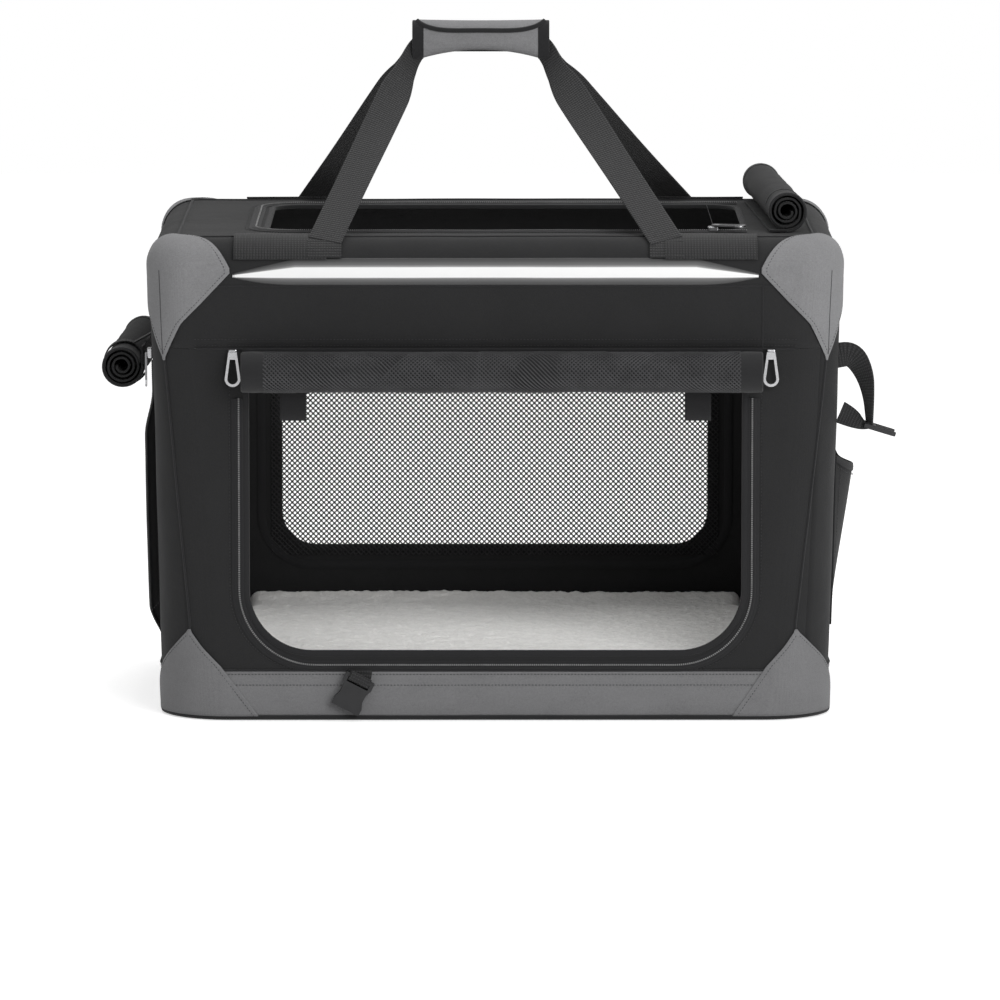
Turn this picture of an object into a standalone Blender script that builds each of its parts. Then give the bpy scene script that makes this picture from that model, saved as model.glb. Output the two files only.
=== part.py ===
"""Soft folding dog crate: a fabric cabin over a steel tube frame that folds flat.

Metres, +Z up. The origin is the middle of the underside, +X runs to the right end and
+Y to the back. The two end frames lean out a little and fold inwards on pins in brackets
at the floor, the left one first, and the fabric crumples down with them.
"""
import math
from collections import namedtuple

import bmesh
import bpy
from mathutils import Matrix, Vector

# Clearances shared by all pieces
SEAT_GAP = 0.0003
SHEET_GAP = 0.0006
PIN_GAP = 0.0003
CUT_OVERRUN = 0.02
WELD = 0.00001

# Cabin skin: a rounded box a little longer at the top than at the base
HEIGHT = 0.460
TOP_LENGTH = 0.660
BASE_LENGTH = 0.637
DEPTH = 0.460
BASE_CORNER_RADIUS = 0.065
TOP_CORNER_RADIUS = 0.040
EDGE_RADIUS = 0.027
FABRIC = 0.002
ARC_STEP = math.radians(9)
TURN_STEPS = 5
CORNER_SEAM_SHARE = 0.4

# Base tray
BASE_PANEL = 0.004
PIPING_RADIUS = 0.0019
BAND_TOP = 0.0475
FLOOR_BOARD = 0.0035
FLOOR_BOARD_INSET = 0.006
PAD_THICKNESS = 0.036
PAD_INSET = 0.009
PAD_EDGE = 0.009
PAD_CROWN = 0.004
PAD_CROWN_RUN = 0.040
NOTCH_RADIUS = 0.008

# Frame tubes
TUBE_RADIUS = 0.006
TUBE_GAP = 0.0009
BOW_BEND_RADIUS = 0.055
BOW_TAIL = 0.010
PIVOT_X = 0.268
LEFT_PIVOT_Z = 0.036
RIGHT_PIVOT_Z = 0.052
BOW_WIDTH_STEP = 0.016

# Hinge brackets and pins
PLATE = 0.002
BRACKET_HALF_LENGTH = 0.014
BRACKET_SIDE_GAP = 0.0006
PIN_RADIUS = 0.0025
PIN_HEAD_RADIUS = 0.0046
PIN_HEAD = 0.0018
PIN_DOME_SHARES = (0.8, 0.7)
BOSS_RADIUS = 0.0052

# Front doorway, its zip, and the header over it
HEADER_SEAM = 0.356
DOOR_HALF_WIDTH = 0.2375
DOOR_SILL = 0.064
DOOR_RADIUS = 0.062
ZIP_MARGIN = 0.0115
ZIP_RADIUS = 0.0022

# Back window and its net
WINDOW_HALF_WIDTH = 0.217
WINDOW_LOW = 0.107
WINDOW_HIGH = 0.330
WINDOW_RADIUS = 0.037
NET_LAP = 0.010
NET_THICKNESS = 0.0012
NET_STRAND = 0.0036
NET_PITCH = 0.0380

# End doorway on the left
END_DOOR_HALF_WIDTH = 0.150
END_DOOR_LOW = 0.078
END_DOOR_HIGH = 0.350
END_DOOR_RADIUS = 0.055

# Rolled doors: each is one spiral of mesh or cloth, counted from its core outwards
ROLL_CORE = 0.0045
ROLL_SHEET = 0.0024
ROLL_PITCH = 0.0041
ROLL_STEPS = 14
WALL_ROLL_TURNS = 3.5
TOP_ROLL_TURNS = 3.25
TOP_ROLL_TAIL = 0.016
FRONT_ROLL_LEFT = -0.2400
FRONT_ROLL_RIGHT = 0.2520
RIGHT_SLIDER_SHIFT = 0.0120
TOP_ROLL_FRONT_X = 0.278
TOP_ROLL_BACK_X = 0.264
TOP_ROLL_FRONT = -0.162
TOP_ROLL_BACK = 0.180
END_ROLL_Z = 0.331
END_ROLL_HALF_LENGTH = 0.150
END_ROLL_GAP = 0.0007

# Cloth tabs behind the front roll
TAB_X = 0.1920
TAB_WIDTH = 0.025
TAB_LOW = 0.287
TAB_THICKNESS = 0.002

# Strap round the left roll, sewn to the end wall over the doorway. Angles are in degrees
# from straight out, turning downwards
STRAP_SHEET = 0.0015
ROLL_STRAP_WIDTH = 0.018
ROLL_STRAP_Y = -0.100
ROLL_STRAP_SEWN = 0.009
ROLL_STRAP_STEPS = 14
ROLL_STRAP_FROM = -115
ROLL_STRAP_TO = 150

# Top opening, which the rolled top flap leaves open
TOP_OPENING_LEFT = -0.220
TOP_OPENING_RIGHT = 0.240
TOP_OPENING_FRONT = -0.1385
TOP_OPENING_BACK = 0.1475
TOP_OPENING_RADIUS = 0.035
TOP_SLIDER_X = 0.2080
TOP_PULL_TURN = math.radians(-23)

# Grey corner patches
PATCH = 0.0012
PATCH_GAP = 0.0016
TOP_PATCH_TIP = 0.344
TOP_PATCH_WIDEST = 0.428
TOP_PATCH_HALF_WIDTH = 0.070
TOP_PATCH_NECK = 0.012
BOTTOM_PATCH_TIP = 0.087
BOTTOM_PATCH_HALF_WIDTH = 0.080
TIP_HALF_WIDTH = 0.0015
PATCH_COLUMNS = 12
# Share of the tip-to-base height, and of the half width reached there
TOP_PATCH_SHARES = ((0.0, 0.0), (0.19, 0.14), (0.43, 0.31), (0.67, 0.61), (0.84, 0.81), (1.0, 1.0))
BOTTOM_PATCH_SHARES = ((0.0, 0.0), (0.2, 0.2), (0.42, 0.46), (0.7, 0.72), (1.0, 1.0))

# Light edge strip and edge webbing along the front
STRIP_HALF_LENGTH = 0.245
STRIP_LOW = 0.424
STRIP_HIGH = 0.4335
STRIP = 0.001
WEBBING = 0.0014
WEBBING_WIDTH = 0.032
WEBBING_INNER_X = 0.160
WEBBING_OUTER_X = 0.2480
WEBBING_TURN_SHARE = 0.18

# Carrying handle
HANDLE_FOOT_FRONT_X = 0.1620
HANDLE_FOOT_BACK_X = 0.1820
HANDLE_FOOT_TURN_SHARE = 0.62
HANDLE_FOOT_GAP = 0.0003
GRIP_LEFT = -0.080
GRIP_RIGHT = 0.052
GRIP_LOW = 0.613
GRIP_HIGH = 0.652
GRIP_HALF_DEPTH = 0.0088
GRIP_WALL = 0.0026
GRIP_STRAP_Y = 0.0030
GRIP_CORNER_RADIUS = 0.005
GRIP_LEAD = 0.008
LEG_TOP_X = 0.020
LEG_TOP_Y = 0.024
LEG_TOP_DROP = 0.022
CORNER_CUTS = 2

# Zip sliders and their pulls
SLIDER_LENGTH = 0.010
SLIDER_WIDTH = 0.008
SLIDER_THICKNESS = 0.0052
SLIDER_BEVEL = 0.0012
PULL_LENGTH = 0.033
PULL_HALF_WIDTH = 0.0075
PULL_NECK = 0.004
PULL_RIM = 0.0025
PULL = 0.0016

# Closing strap with its male buckle, and the female buckle on the base
CLOSURE_WIDTH = 0.024
CLOSURE_Y = -0.188
CLOSURE_Z = 0.345
CLOSURE_OUT = 0.0285
CLOSURE_DROP = 0.064
BUCKLE_HALF_WIDTH = 0.0145
BUCKLE_LENGTH = 0.034
BUCKLE_THICKNESS = 0.0078
BUCKLE_BAR = 0.0035
BUCKLE_WALL = 0.0018
BUCKLE_SLOT = 0.005
PRONG_LENGTH = 0.020
PRONG_WIDTH = 0.0042
MALE_THICKNESS = 0.0044
MALE_TILT = math.radians(-17)
# Closing strap: share of its stand-off and share of its drop at each knot after the root
CLOSURE_SHARES = ((0.45, -0.04), (0.85, 0.25), (1.0, 0.6), (1.03, 1.0))
# Female housing: share of its length where the waist starts and ends, and of the prong it takes
WAIST_SHARES = (0.22, 0.40, 0.62, 0.80)
WAIST_DEPTH_SHARE = 0.6
FEMALE_X = -0.1280
FEMALE_Z = 0.0425
FEMALE_TILT = math.radians(27)
LOOP_TOP = 0.0485
LOOP_STAND = 0.004

# Side pocket on the right end
POCKET_LOW = 0.082
POCKET_HIGH = 0.242
POCKET_HALF_WIDTH = 0.150
POCKET_BULGE = 0.016
POCKET_SHEET = 0.0016
POCKET_COLUMNS = 12
POCKET_ROWS = 6

Level = namedtuple("Level", "z half_x half_y radius")
EAST = Vector((1.0, 0.0, 0.0))
NORTH = Vector((0.0, 1.0, 0.0))
UP = Vector((0.0, 0.0, 1.0))

BLACK_CLOTH = ((0.025, 0.025, 0.027), 0.85, 0.0)
GREY_CLOTH = ((0.14, 0.14, 0.15), 0.80, 0.0)
WEBBING_LOOK = ((0.03, 0.03, 0.032), 0.70, 0.0)
FLEECE = ((0.75, 0.74, 0.71), 0.95, 0.0)
STEEL = ((0.35, 0.35, 0.36), 0.35, 1.0)
CHROME = ((0.75, 0.75, 0.76), 0.15, 1.0)
PLASTIC = ((0.02, 0.02, 0.022), 0.40, 0.0)
LIGHT_TRIM = ((0.85, 0.85, 0.85), 0.60, 0.0)


def clear_scene():
    for item in list(bpy.data.objects):
        bpy.data.objects.remove(item, do_unlink=True)


def new_collection(name):
    made = bpy.data.collections.new(name)
    bpy.context.scene.collection.children.link(made)
    return made


clear_scene()
CRATE = new_collection("folding_dog_crate")
CUTTERS = new_collection("cutters")


def add_object(name, data, home=None):
    item = bpy.data.objects.new(name, data)
    (home or CRATE).objects.link(item)
    return item


def finish(item, look, carrier=None):
    """Give a piece its own material, smooth its rounds and hang it on its carrier."""
    colour, roughness, metallic = look
    material = bpy.data.materials.new(item.name + "_finish")
    material.use_nodes = True
    shader = material.node_tree.nodes["Principled BSDF"]
    shader.inputs["Base Color"].default_value = (*colour, 1.0)
    shader.inputs["Roughness"].default_value = roughness
    shader.inputs["Metallic"].default_value = metallic
    item.data.materials.clear()
    item.data.materials.append(material)
    if item.type == "MESH":
        item.data.shade_smooth()
        item.data.set_sharp_from_angle(angle=math.radians(35))
    if carrier:
        bpy.context.view_layer.update()
        item.parent = carrier
        item.matrix_parent_inverse = carrier.matrix_world.inverted()
    return item


def carrier_at(name, place):
    """An empty on a joint's axis, which carries the pieces that move with the joint."""
    empty = add_object(name, None)
    empty.location = place
    bpy.context.view_layer.update()
    return empty


def as_mesh(source):
    """Turn a curve into a mesh with its caps welded on, under the same name."""
    bpy.context.view_layer.update()
    graph = bpy.context.evaluated_depsgraph_get()
    mesh = bpy.data.meshes.new_from_object(source.evaluated_get(graph))
    shape = bmesh.new()
    shape.from_mesh(mesh)
    bmesh.ops.remove_doubles(shape, verts=shape.verts, dist=WELD)
    shape.to_mesh(mesh)
    shape.free()
    name, matrix = source.name, source.matrix_world.copy()
    bpy.data.objects.remove(source, do_unlink=True)
    made = add_object(name, mesh)
    made.matrix_world = matrix
    return made


def solidify(item, thickness, even=True):
    wall = item.modifiers.new("wall", "SOLIDIFY")
    wall.thickness = thickness
    wall.offset = -1.0
    wall.use_even_offset = even
    return item


def bevel(item, width, segments=2, angle=math.radians(40)):
    edge = item.modifiers.new("edge", "BEVEL")
    edge.width = width
    edge.segments = segments
    edge.limit_method = "ANGLE"
    edge.angle_limit = angle
    return item


def cut(item, cutter):
    for home in list(cutter.users_collection):
        home.objects.unlink(cutter)
    CUTTERS.objects.link(cutter)
    cutter.hide_render = True
    cutter.display_type = "WIRE"
    hole = item.modifiers.new("hole", "BOOLEAN")
    hole.operation = "DIFFERENCE"
    hole.solver = "EXACT"
    hole.object = cutter
    return item


def mesh_from(name, points, faces):
    mesh = bpy.data.meshes.new(name)
    mesh.from_pydata([tuple(point) for point in points], [], faces)
    mesh.update()
    return add_object(name, mesh)


def loft(name, rows, closed=False):
    """Skin a list of rows of points; closed joins each row's end to its start."""
    across = len(rows[0])
    points = [point for row in rows for point in row]
    faces = []
    for row in range(len(rows) - 1):
        for column in range(across if closed else across - 1):
            near, far = row * across, (row + 1) * across
            following = (column + 1) % across
            faces.append((near + column, near + following, far + following, far + column))
    return mesh_from(name, points, faces)


def tube(name, points, radius, closed=False, resolution=2):
    curve = bpy.data.curves.new(name, "CURVE")
    curve.dimensions = "3D"
    curve.bevel_depth = radius
    curve.bevel_resolution = resolution
    curve.use_fill_caps = not closed
    spline = curve.splines.new("POLY")
    spline.points.add(len(points) - 1)
    for knot, point in zip(spline.points, points):
        knot.co = (*point, 1.0)
    spline.use_cyclic_u = closed
    return add_object(name, curve)


def plate(name, outlines, thickness, centre, axes):
    """Flat plate from closed outlines, the first one outside, on the given two axes."""
    curve = bpy.data.curves.new(name, "CURVE")
    curve.dimensions = "2D"
    curve.fill_mode = "BOTH"
    curve.extrude = thickness / 2
    for outline in outlines:
        spline = curve.splines.new("POLY")
        spline.points.add(len(outline) - 1)
        for knot, (across, along) in zip(spline.points, outline):
            knot.co = (across, along, 0.0, 1.0)
        spline.use_cyclic_u = True
    item = add_object(name, curve)
    first, second = (Vector(axis).normalized() for axis in axes)
    third = first.cross(second)
    item.matrix_world = Matrix.Translation(centre) @ Matrix((first, second, third)).transposed().to_4x4()
    return as_mesh(item)


def arc(centre, radius, start, end, steps):
    """Points of a plane arc, angles in degrees from the first axis."""
    return [
        (
            centre[0] + radius * math.cos(math.radians(start + (end - start) * step / steps)),
            centre[1] + radius * math.sin(math.radians(start + (end - start) * step / steps)),
        )
        for step in range(steps + 1)
    ]


def rounded_box_outline(low, high, radius, top_radius=None, steps=6):
    """Rounded rectangle outline; the two upper corners may have their own radius."""
    upper = radius if top_radius is None else top_radius
    return (
        arc((low[0] + radius, low[1] + radius), radius, 180, 270, steps)
        + arc((high[0] - radius, low[1] + radius), radius, 270, 360, steps)
        + arc((high[0] - upper, high[1] - upper), upper, 0, 90, steps)
        + arc((low[0] + upper, high[1] - upper), upper, 90, 180, steps)
    )


def level(height, turn=0.0, out=0.0):
    """One section of the skin. turn runs from 0, on the wall, to 1, on the flat top."""
    angle = turn * math.pi / 2
    swing = EDGE_RADIUS + out
    if turn > 0:
        height = HEIGHT - EDGE_RADIUS + swing * math.sin(angle)
    inset = EDGE_RADIUS - swing * math.cos(angle)
    share = min(height, HEIGHT) / HEIGHT
    half_length = (BASE_LENGTH + (TOP_LENGTH - BASE_LENGTH) * share) / 2
    radius = BASE_CORNER_RADIUS + (TOP_CORNER_RADIUS - BASE_CORNER_RADIUS) * share
    return Level(height, half_length - inset, DEPTH / 2 - inset, radius - inset)


def around(section, place):
    """Point on a section. 0 to 1 is the front, 1 to 2 the front right corner, and so on."""
    flat_x = section.half_x - section.radius
    flat_y = section.half_y - section.radius
    side = int(math.floor(place)) % 8
    share = place - math.floor(place)
    quarter = side // 2
    corners = ((flat_x, -flat_y), (flat_x, flat_y), (-flat_x, flat_y), (-flat_x, -flat_y))
    if side % 2:
        centre = corners[quarter]
        angle = math.radians(-90 + 90 * (quarter + share))
        return Vector((
            centre[0] + section.radius * math.cos(angle),
            centre[1] + section.radius * math.sin(angle),
            section.z,
        ))
    start = Vector((*corners[quarter - 1], section.z))
    end = Vector((*corners[quarter], section.z))
    facing = math.radians(-90 + 90 * quarter)
    return start.lerp(end, share) + section.radius * Vector((math.cos(facing), math.sin(facing), 0.0))


def front_place(section, x):
    flat_x = section.half_x - section.radius
    return (x + flat_x) / (2 * flat_x)


def back_place(section, x):
    return 5 - front_place(section, x)


def corner_place(section, quarter, distance):
    """Place at a distance along the skin from the middle of a corner, anticlockwise."""
    middle = 2 * quarter + 1.5
    half_arc = section.radius * math.pi / 4
    way = math.copysign(1.0, distance)
    reach = abs(distance)
    if reach <= half_arc:
        return middle + distance / half_arc / 2
    along_y = (quarter % 2 == 0) == (way > 0)
    flat = (section.half_y if along_y else section.half_x) - section.radius
    return middle + way * (0.5 + (reach - half_arc) / (2 * flat))


def places_between(start, end, flat_steps):
    """Places from start to end, with a step for every few degrees of corner."""
    found = [start]
    stops = [stop for stop in range(math.ceil(start), math.floor(end) + 1) if start < stop < end]
    for low, high in zip([start] + stops, stops + [end]):
        corner = int(math.floor((low + high) / 2)) % 2
        if corner:
            steps = max(2, round((high - low) * (math.pi / 2) / ARC_STEP))
        else:
            steps = flat_steps
        found += [low + (high - low) * step / steps for step in range(1, steps + 1)]
    return found


def wall_levels(low, high, rows, over_edge=True, out=0.0):
    """Levels up a wall and, if asked, over the rounded edge to the flat top."""
    found = [level(low + (high - low) * row / rows, out=out) for row in range(rows + 1)]
    if over_edge:
        found += [level(0.0, step / TURN_STEPS, out) for step in range(1, TURN_STEPS + 1)]
    return found


def skin_panel(name, levels, places, thickness, closed=False):
    rows = [[around(section, place) for place in places] for section in levels]
    return solidify(loft(name, rows, closed), thickness)


def seam_share():
    """Half a seam gap as a share of the tightest corner's arc."""
    tightest = level(0.0, 1.0).radius
    return SEAT_GAP / (tightest * math.pi / 2)


def notched_outline(half_x, half_y, notch_x, notch_y, radius, steps=4):
    """Rectangle with square notches at its corners, every corner of it rounded."""
    quarter = (
        arc((half_x - radius, notch_y - radius), radius, 0, 90, steps)
        + arc((notch_x + radius, notch_y + radius), radius, 270, 180, steps)
        + arc((notch_x - radius, half_y - radius), radius, 0, 90, steps)
    )
    mirrored = [(-x, y) for x, y in reversed(quarter)]
    upper = quarter + mirrored
    lower = [(x, -y) for x, y in reversed(upper)]
    return upper + lower


# Derived places
ROLL_RADIUS = ROLL_CORE + ROLL_PITCH * WALL_ROLL_TURNS
ROLL_REACH = ROLL_RADIUS + ROLL_SHEET
RING_INSET = FABRIC + SHEET_GAP + TUBE_RADIUS
RING_Z = BASE_PANEL + SEAT_GAP + TUBE_RADIUS
TOP_SEAM_TILT = math.sin(math.pi / 4 / TURN_STEPS)
RING_SECTION = level(BASE_PANEL, out=-RING_INSET - TUBE_RADIUS)
BRACKET_INTO_CORNER = PIVOT_X + BRACKET_HALF_LENGTH - RING_SECTION.half_x + RING_SECTION.radius
RING_INNER_Y = RING_SECTION.half_y - RING_SECTION.radius + math.sqrt(
    RING_SECTION.radius ** 2 - max(BRACKET_INTO_CORNER, 0.0) ** 2
)
CHEEK_OUTER_Y = RING_INNER_Y - SHEET_GAP
RIGHT_BOW_Y = CHEEK_OUTER_Y - PLATE - BRACKET_SIDE_GAP - TUBE_RADIUS
LEFT_BOW_Y = RIGHT_BOW_Y - BOW_WIDTH_STEP
EDGE_NEST = EDGE_RADIUS - FABRIC - TUBE_GAP - TUBE_RADIUS
BOW_TOP_X = level(HEIGHT - EDGE_RADIUS).half_x - EDGE_RADIUS + EDGE_NEST * math.sin(math.pi / 4)
BOW_TOP_Z = HEIGHT - EDGE_RADIUS + EDGE_NEST * math.sin(math.pi / 4)
FLOOR_BOARD_LOW = RING_Z + TUBE_RADIUS + SEAT_GAP
PAD_LOW = FLOOR_BOARD_LOW + FLOOR_BOARD + SEAT_GAP
NOTCH_X = PIVOT_X - BRACKET_HALF_LENGTH - FLOOR_BOARD_INSET
NOTCH_Y = LEFT_BOW_Y - TUBE_RADIUS - BRACKET_SIDE_GAP - PLATE - PIN_HEAD - SHEET_GAP
WALL_LOW = BAND_TOP + SEAT_GAP
FRONT_Y = -DEPTH / 2


def build_base():
    """Base panel, fabric band, steel ring, floor board and fleece pad."""
    bottom = level(BASE_PANEL)
    outline = rounded_box_outline(
        (-bottom.half_x, -bottom.half_y), (bottom.half_x, bottom.half_y), bottom.radius, steps=10
    )
    panel = plate("base_panel", [outline], BASE_PANEL, UP * (BASE_PANEL / 2), (EAST, NORTH))
    finish(bevel(panel, PIPING_RADIUS), BLACK_CLOTH)

    levels = [level(BASE_PANEL + SEAT_GAP), level(BAND_TOP)]
    places = places_between(0.0, 8.0, 2)[:-1]
    finish(skin_panel("base_band", levels, places, FABRIC, closed=True), GREY_CLOTH)

    section = level(BASE_PANEL, out=-RING_INSET)
    ring = [around(section, place) for place in places_between(0.0, 8.0, 1)[:-1]]
    for point in ring:
        point.z = RING_Z
    finish(tube("base_frame", ring, TUBE_RADIUS, closed=True), STEEL)

    half_x = bottom.half_x - FABRIC - FLOOR_BOARD_INSET
    half_y = bottom.half_y - FABRIC - FLOOR_BOARD_INSET
    outline = notched_outline(half_x, half_y, NOTCH_X, NOTCH_Y, NOTCH_RADIUS)
    centre = UP * (FLOOR_BOARD_LOW + FLOOR_BOARD / 2)
    finish(plate("floor_board", [outline], FLOOR_BOARD, centre, (EAST, NORTH)), BLACK_CLOTH)
    build_pad(bottom.half_x - FABRIC - PAD_INSET, bottom.half_y - FABRIC - PAD_INSET)


def build_pad(half_x, half_y):
    """Fleece cushion: full at mid height, drawn in at its edges, and crowned on top."""
    edge_high = PAD_LOW + PAD_THICKNESS
    profile = [
        (PAD_EDGE, PAD_LOW),
        (PAD_EDGE / 4, PAD_LOW + PAD_THICKNESS / 6),
        (0.0, PAD_LOW + PAD_THICKNESS / 2),
        (PAD_EDGE / 4, edge_high - PAD_THICKNESS / 6),
        (PAD_EDGE, edge_high),
        (PAD_CROWN_RUN, edge_high + PAD_CROWN),
    ]
    rows = []
    for inset, height in profile:
        reach = inset + SHEET_GAP
        outline = notched_outline(
            half_x - reach, half_y - reach, NOTCH_X - reach, NOTCH_Y - reach, NOTCH_RADIUS
        )
        rows.append([Vector((x, y, height)) for x, y in outline])
    pad = loft("floor_pad", rows, closed=True)
    shape = bmesh.new()
    shape.from_mesh(pad.data)
    bmesh.ops.holes_fill(shape, edges=shape.edges)
    bmesh.ops.recalc_face_normals(shape, faces=shape.faces)
    shape.to_mesh(pad.data)
    shape.free()
    finish(pad, FLEECE)


def patch_panel(name, levels, widths, quarter):
    rows = []
    for section, width in zip(levels, widths):
        reach = max(width, TIP_HALF_WIDTH)
        rows.append([
            around(section, corner_place(section, quarter, reach * (2 * column / PATCH_COLUMNS - 1)))
            for column in range(PATCH_COLUMNS + 1)
        ])
    return solidify(loft(name, rows), PATCH, even=False)


def build_patches(quarter, corner, carrier):
    """The grey patch sewn over a corner at the base, and the one over it at the top."""
    out = PATCH_GAP + PATCH
    low = BASE_PANEL + SEAT_GAP
    levels, widths = [], []
    for rise, width in reversed(BOTTOM_PATCH_SHARES):
        levels.append(level(BOTTOM_PATCH_TIP - rise * (BOTTOM_PATCH_TIP - low), out=out))
        widths.append(width * BOTTOM_PATCH_HALF_WIDTH)
    finish(patch_panel(corner + "_bottom_patch", levels, widths, quarter), GREY_CLOTH)

    levels, widths = [], []
    for rise, width in TOP_PATCH_SHARES:
        levels.append(level(TOP_PATCH_TIP + rise * (TOP_PATCH_WIDEST - TOP_PATCH_TIP), out=out))
        widths.append(width * TOP_PATCH_HALF_WIDTH)
    for step in range(TURN_STEPS + 1):
        share = step / TURN_STEPS
        levels.append(level(HEIGHT - EDGE_RADIUS, share, out))
        widths.append(TOP_PATCH_HALF_WIDTH + (TOP_PATCH_NECK - TOP_PATCH_HALF_WIDTH) * share)
    patch = patch_panel(corner + "_top_patch", levels, widths, quarter)
    finish(patch, GREY_CLOTH, carrier)


def build_bracket(name, side, back, bow_y, pivot_z):
    """Folded steel channel beside the base ring, with the two cheeks of one hinge."""
    outer = CHEEK_OUTER_Y
    inner = bow_y - TUBE_RADIUS - BRACKET_SIDE_GAP - PLATE
    floor = BASE_PANEL + SEAT_GAP
    centre = side * PIVOT_X
    round_top = [
        (centre + BRACKET_HALF_LENGTH * x, pivot_z + BRACKET_HALF_LENGTH / 2 * z)
        for x, z in arc((0.0, 0.0), 1.0, 0, 180, 6)
    ]
    cheek = [(centre - BRACKET_HALF_LENGTH, floor), (centre + BRACKET_HALF_LENGTH, floor)] + round_top
    count = len(cheek)
    points = [Vector((x, back * outer, z)) for x, z in cheek]
    points += [Vector((x, back * inner, z)) for x, z in cheek]
    faces = [tuple(range(count)), tuple(reversed(range(count, 2 * count))), (0, count, count + 1, 1)]
    bracket = mesh_from(name, points, faces)
    if back > 0:
        bracket.data.flip_normals()
    solidify(bracket, PLATE)
    spacer = outer - PLATE - (bow_y + TUBE_RADIUS)
    if spacer > 2 * BRACKET_SIDE_GAP:
        add_boss(bracket, centre, back, outer - PLATE, spacer - BRACKET_SIDE_GAP, pivot_z)
    cut(bracket, pin_bore(name + "_bore", centre, back * (outer + inner) / 2, outer - inner, pivot_z))
    return finish(bracket, STEEL)


def add_boss(bracket, centre, back, start, length, pivot_z):
    """Spacer boss on the outer cheek, which stands the narrower bow off the ring."""
    root = start + PLATE / 2
    tip = start - length
    bpy.ops.mesh.primitive_cylinder_add(
        vertices=16,
        radius=BOSS_RADIUS,
        depth=root - tip,
        location=(centre, back * (root + tip) / 2, pivot_z),
        rotation=(math.pi / 2, 0.0, 0.0),
    )
    boss = bpy.context.object
    boss.name = bracket.name + "_boss"
    for home in list(boss.users_collection):
        home.objects.unlink(boss)
    CUTTERS.objects.link(boss)
    boss.hide_render = True
    boss.display_type = "WIRE"
    join = bracket.modifiers.new("boss", "BOOLEAN")
    join.operation = "UNION"
    join.solver = "EXACT"
    join.object = boss


def pin_bore(name, x, y, length, z):
    bpy.ops.mesh.primitive_cylinder_add(
        vertices=16,
        radius=PIN_RADIUS + PIN_GAP,
        depth=length + CUT_OVERRUN,
        location=(x, y, z),
        rotation=(math.pi / 2, 0.0, 0.0),
    )
    bore = bpy.context.object
    bore.name = name
    return bore


def build_pin(name, side, back, bow_y, pivot_z):
    """Rivet through both cheeks, turned about its own axis, with a domed head at each end."""
    outer = CHEEK_OUTER_Y - PLATE
    inner = bow_y - TUBE_RADIUS - BRACKET_SIDE_GAP - PLATE - SEAT_GAP
    shank_end = CHEEK_OUTER_Y - SEAT_GAP
    profile = [
        (0.0, shank_end),
        (PIN_RADIUS, shank_end),
        (PIN_RADIUS, (outer + inner) / 2),
        (PIN_RADIUS, inner),
        (PIN_HEAD_RADIUS, inner),
        (PIN_HEAD_RADIUS * PIN_DOME_SHARES[0], inner - PIN_HEAD * PIN_DOME_SHARES[1]),
        (0.0, inner - PIN_HEAD),
    ]
    mesh = bpy.data.meshes.new(name)
    mesh.from_pydata(
        [(radius, 0.0, length) for radius, length in profile],
        [(step, step + 1) for step in range(len(profile) - 1)],
        [],
    )
    pin = add_object(name, mesh)
    turn = pin.modifiers.new("turn", "SCREW")
    turn.steps = 14
    turn.render_steps = 14
    turn.use_merge_vertices = True
    turn.merge_threshold = WELD
    pin.rotation_euler = (-back * math.pi / 2, 0.0, 0.0)
    pin.location = (side * PIVOT_X, 0.0, pivot_z)
    return finish(pin, CHROME)


def build_bow(name, side, half_width, pivot_z, carrier):
    """One end frame: a tube bent to an upside-down U that leans out to the top edge."""
    pivot = Vector((side * PIVOT_X, 0.0, pivot_z))
    lean = Vector((side * BOW_TOP_X, 0.0, BOW_TOP_Z)) - pivot
    rise = lean.length
    lean.normalize()
    bend = BOW_BEND_RADIUS
    path = [(-half_width, -BOW_TAIL)]
    path += [
        (point[0], point[1])
        for point in arc((-half_width + bend, rise - bend), bend, 180, 90, 7)
    ]
    path += arc((half_width - bend, rise - bend), bend, 90, 0, 7)
    path.append((half_width, -BOW_TAIL))
    points = [pivot + lean * along + NORTH * across for across, along in path]
    bow = as_mesh(tube(name, points, TUBE_RADIUS))
    for back in (-1, 1):
        bore = pin_bore(f"{name}_bore_{back}", pivot.x, back * half_width, 2 * TUBE_RADIUS, pivot_z)
        cut(bow, bore)
    return finish(bow, STEEL, carrier)


def build_frames(carriers):
    for side, end, bow_y, pivot_z in (
        (-1, "left", LEFT_BOW_Y, LEFT_PIVOT_Z),
        (1, "right", RIGHT_BOW_Y, RIGHT_PIVOT_Z),
    ):
        build_bow(end + "_end_frame", side, bow_y, pivot_z, carriers[end])
        for back, face in ((-1, "front"), (1, "back")):
            build_bracket(f"{end}_{face}_hinge_bracket", side, back, bow_y, pivot_z)
            build_pin(f"{end}_{face}_hinge_pin", side, back, bow_y, pivot_z)


def door_cutter(name, low, high, radius, centre, axes, top_radius=None):
    outline = rounded_box_outline(low, high, radius, top_radius)
    return plate(name, [outline], CUT_OVERRUN * 4, centre, axes)


def zip_path(half_width, low, high, radius, steps=6):
    """U of a door zip: down one side, along the bottom and up the other side."""
    return (
        [(-half_width, high)]
        + arc((-half_width + radius, low + radius), radius, 180, 270, steps)
        + arc((half_width - radius, low + radius), radius, 270, 360, steps)
        + [(half_width, high)]
    )


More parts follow.
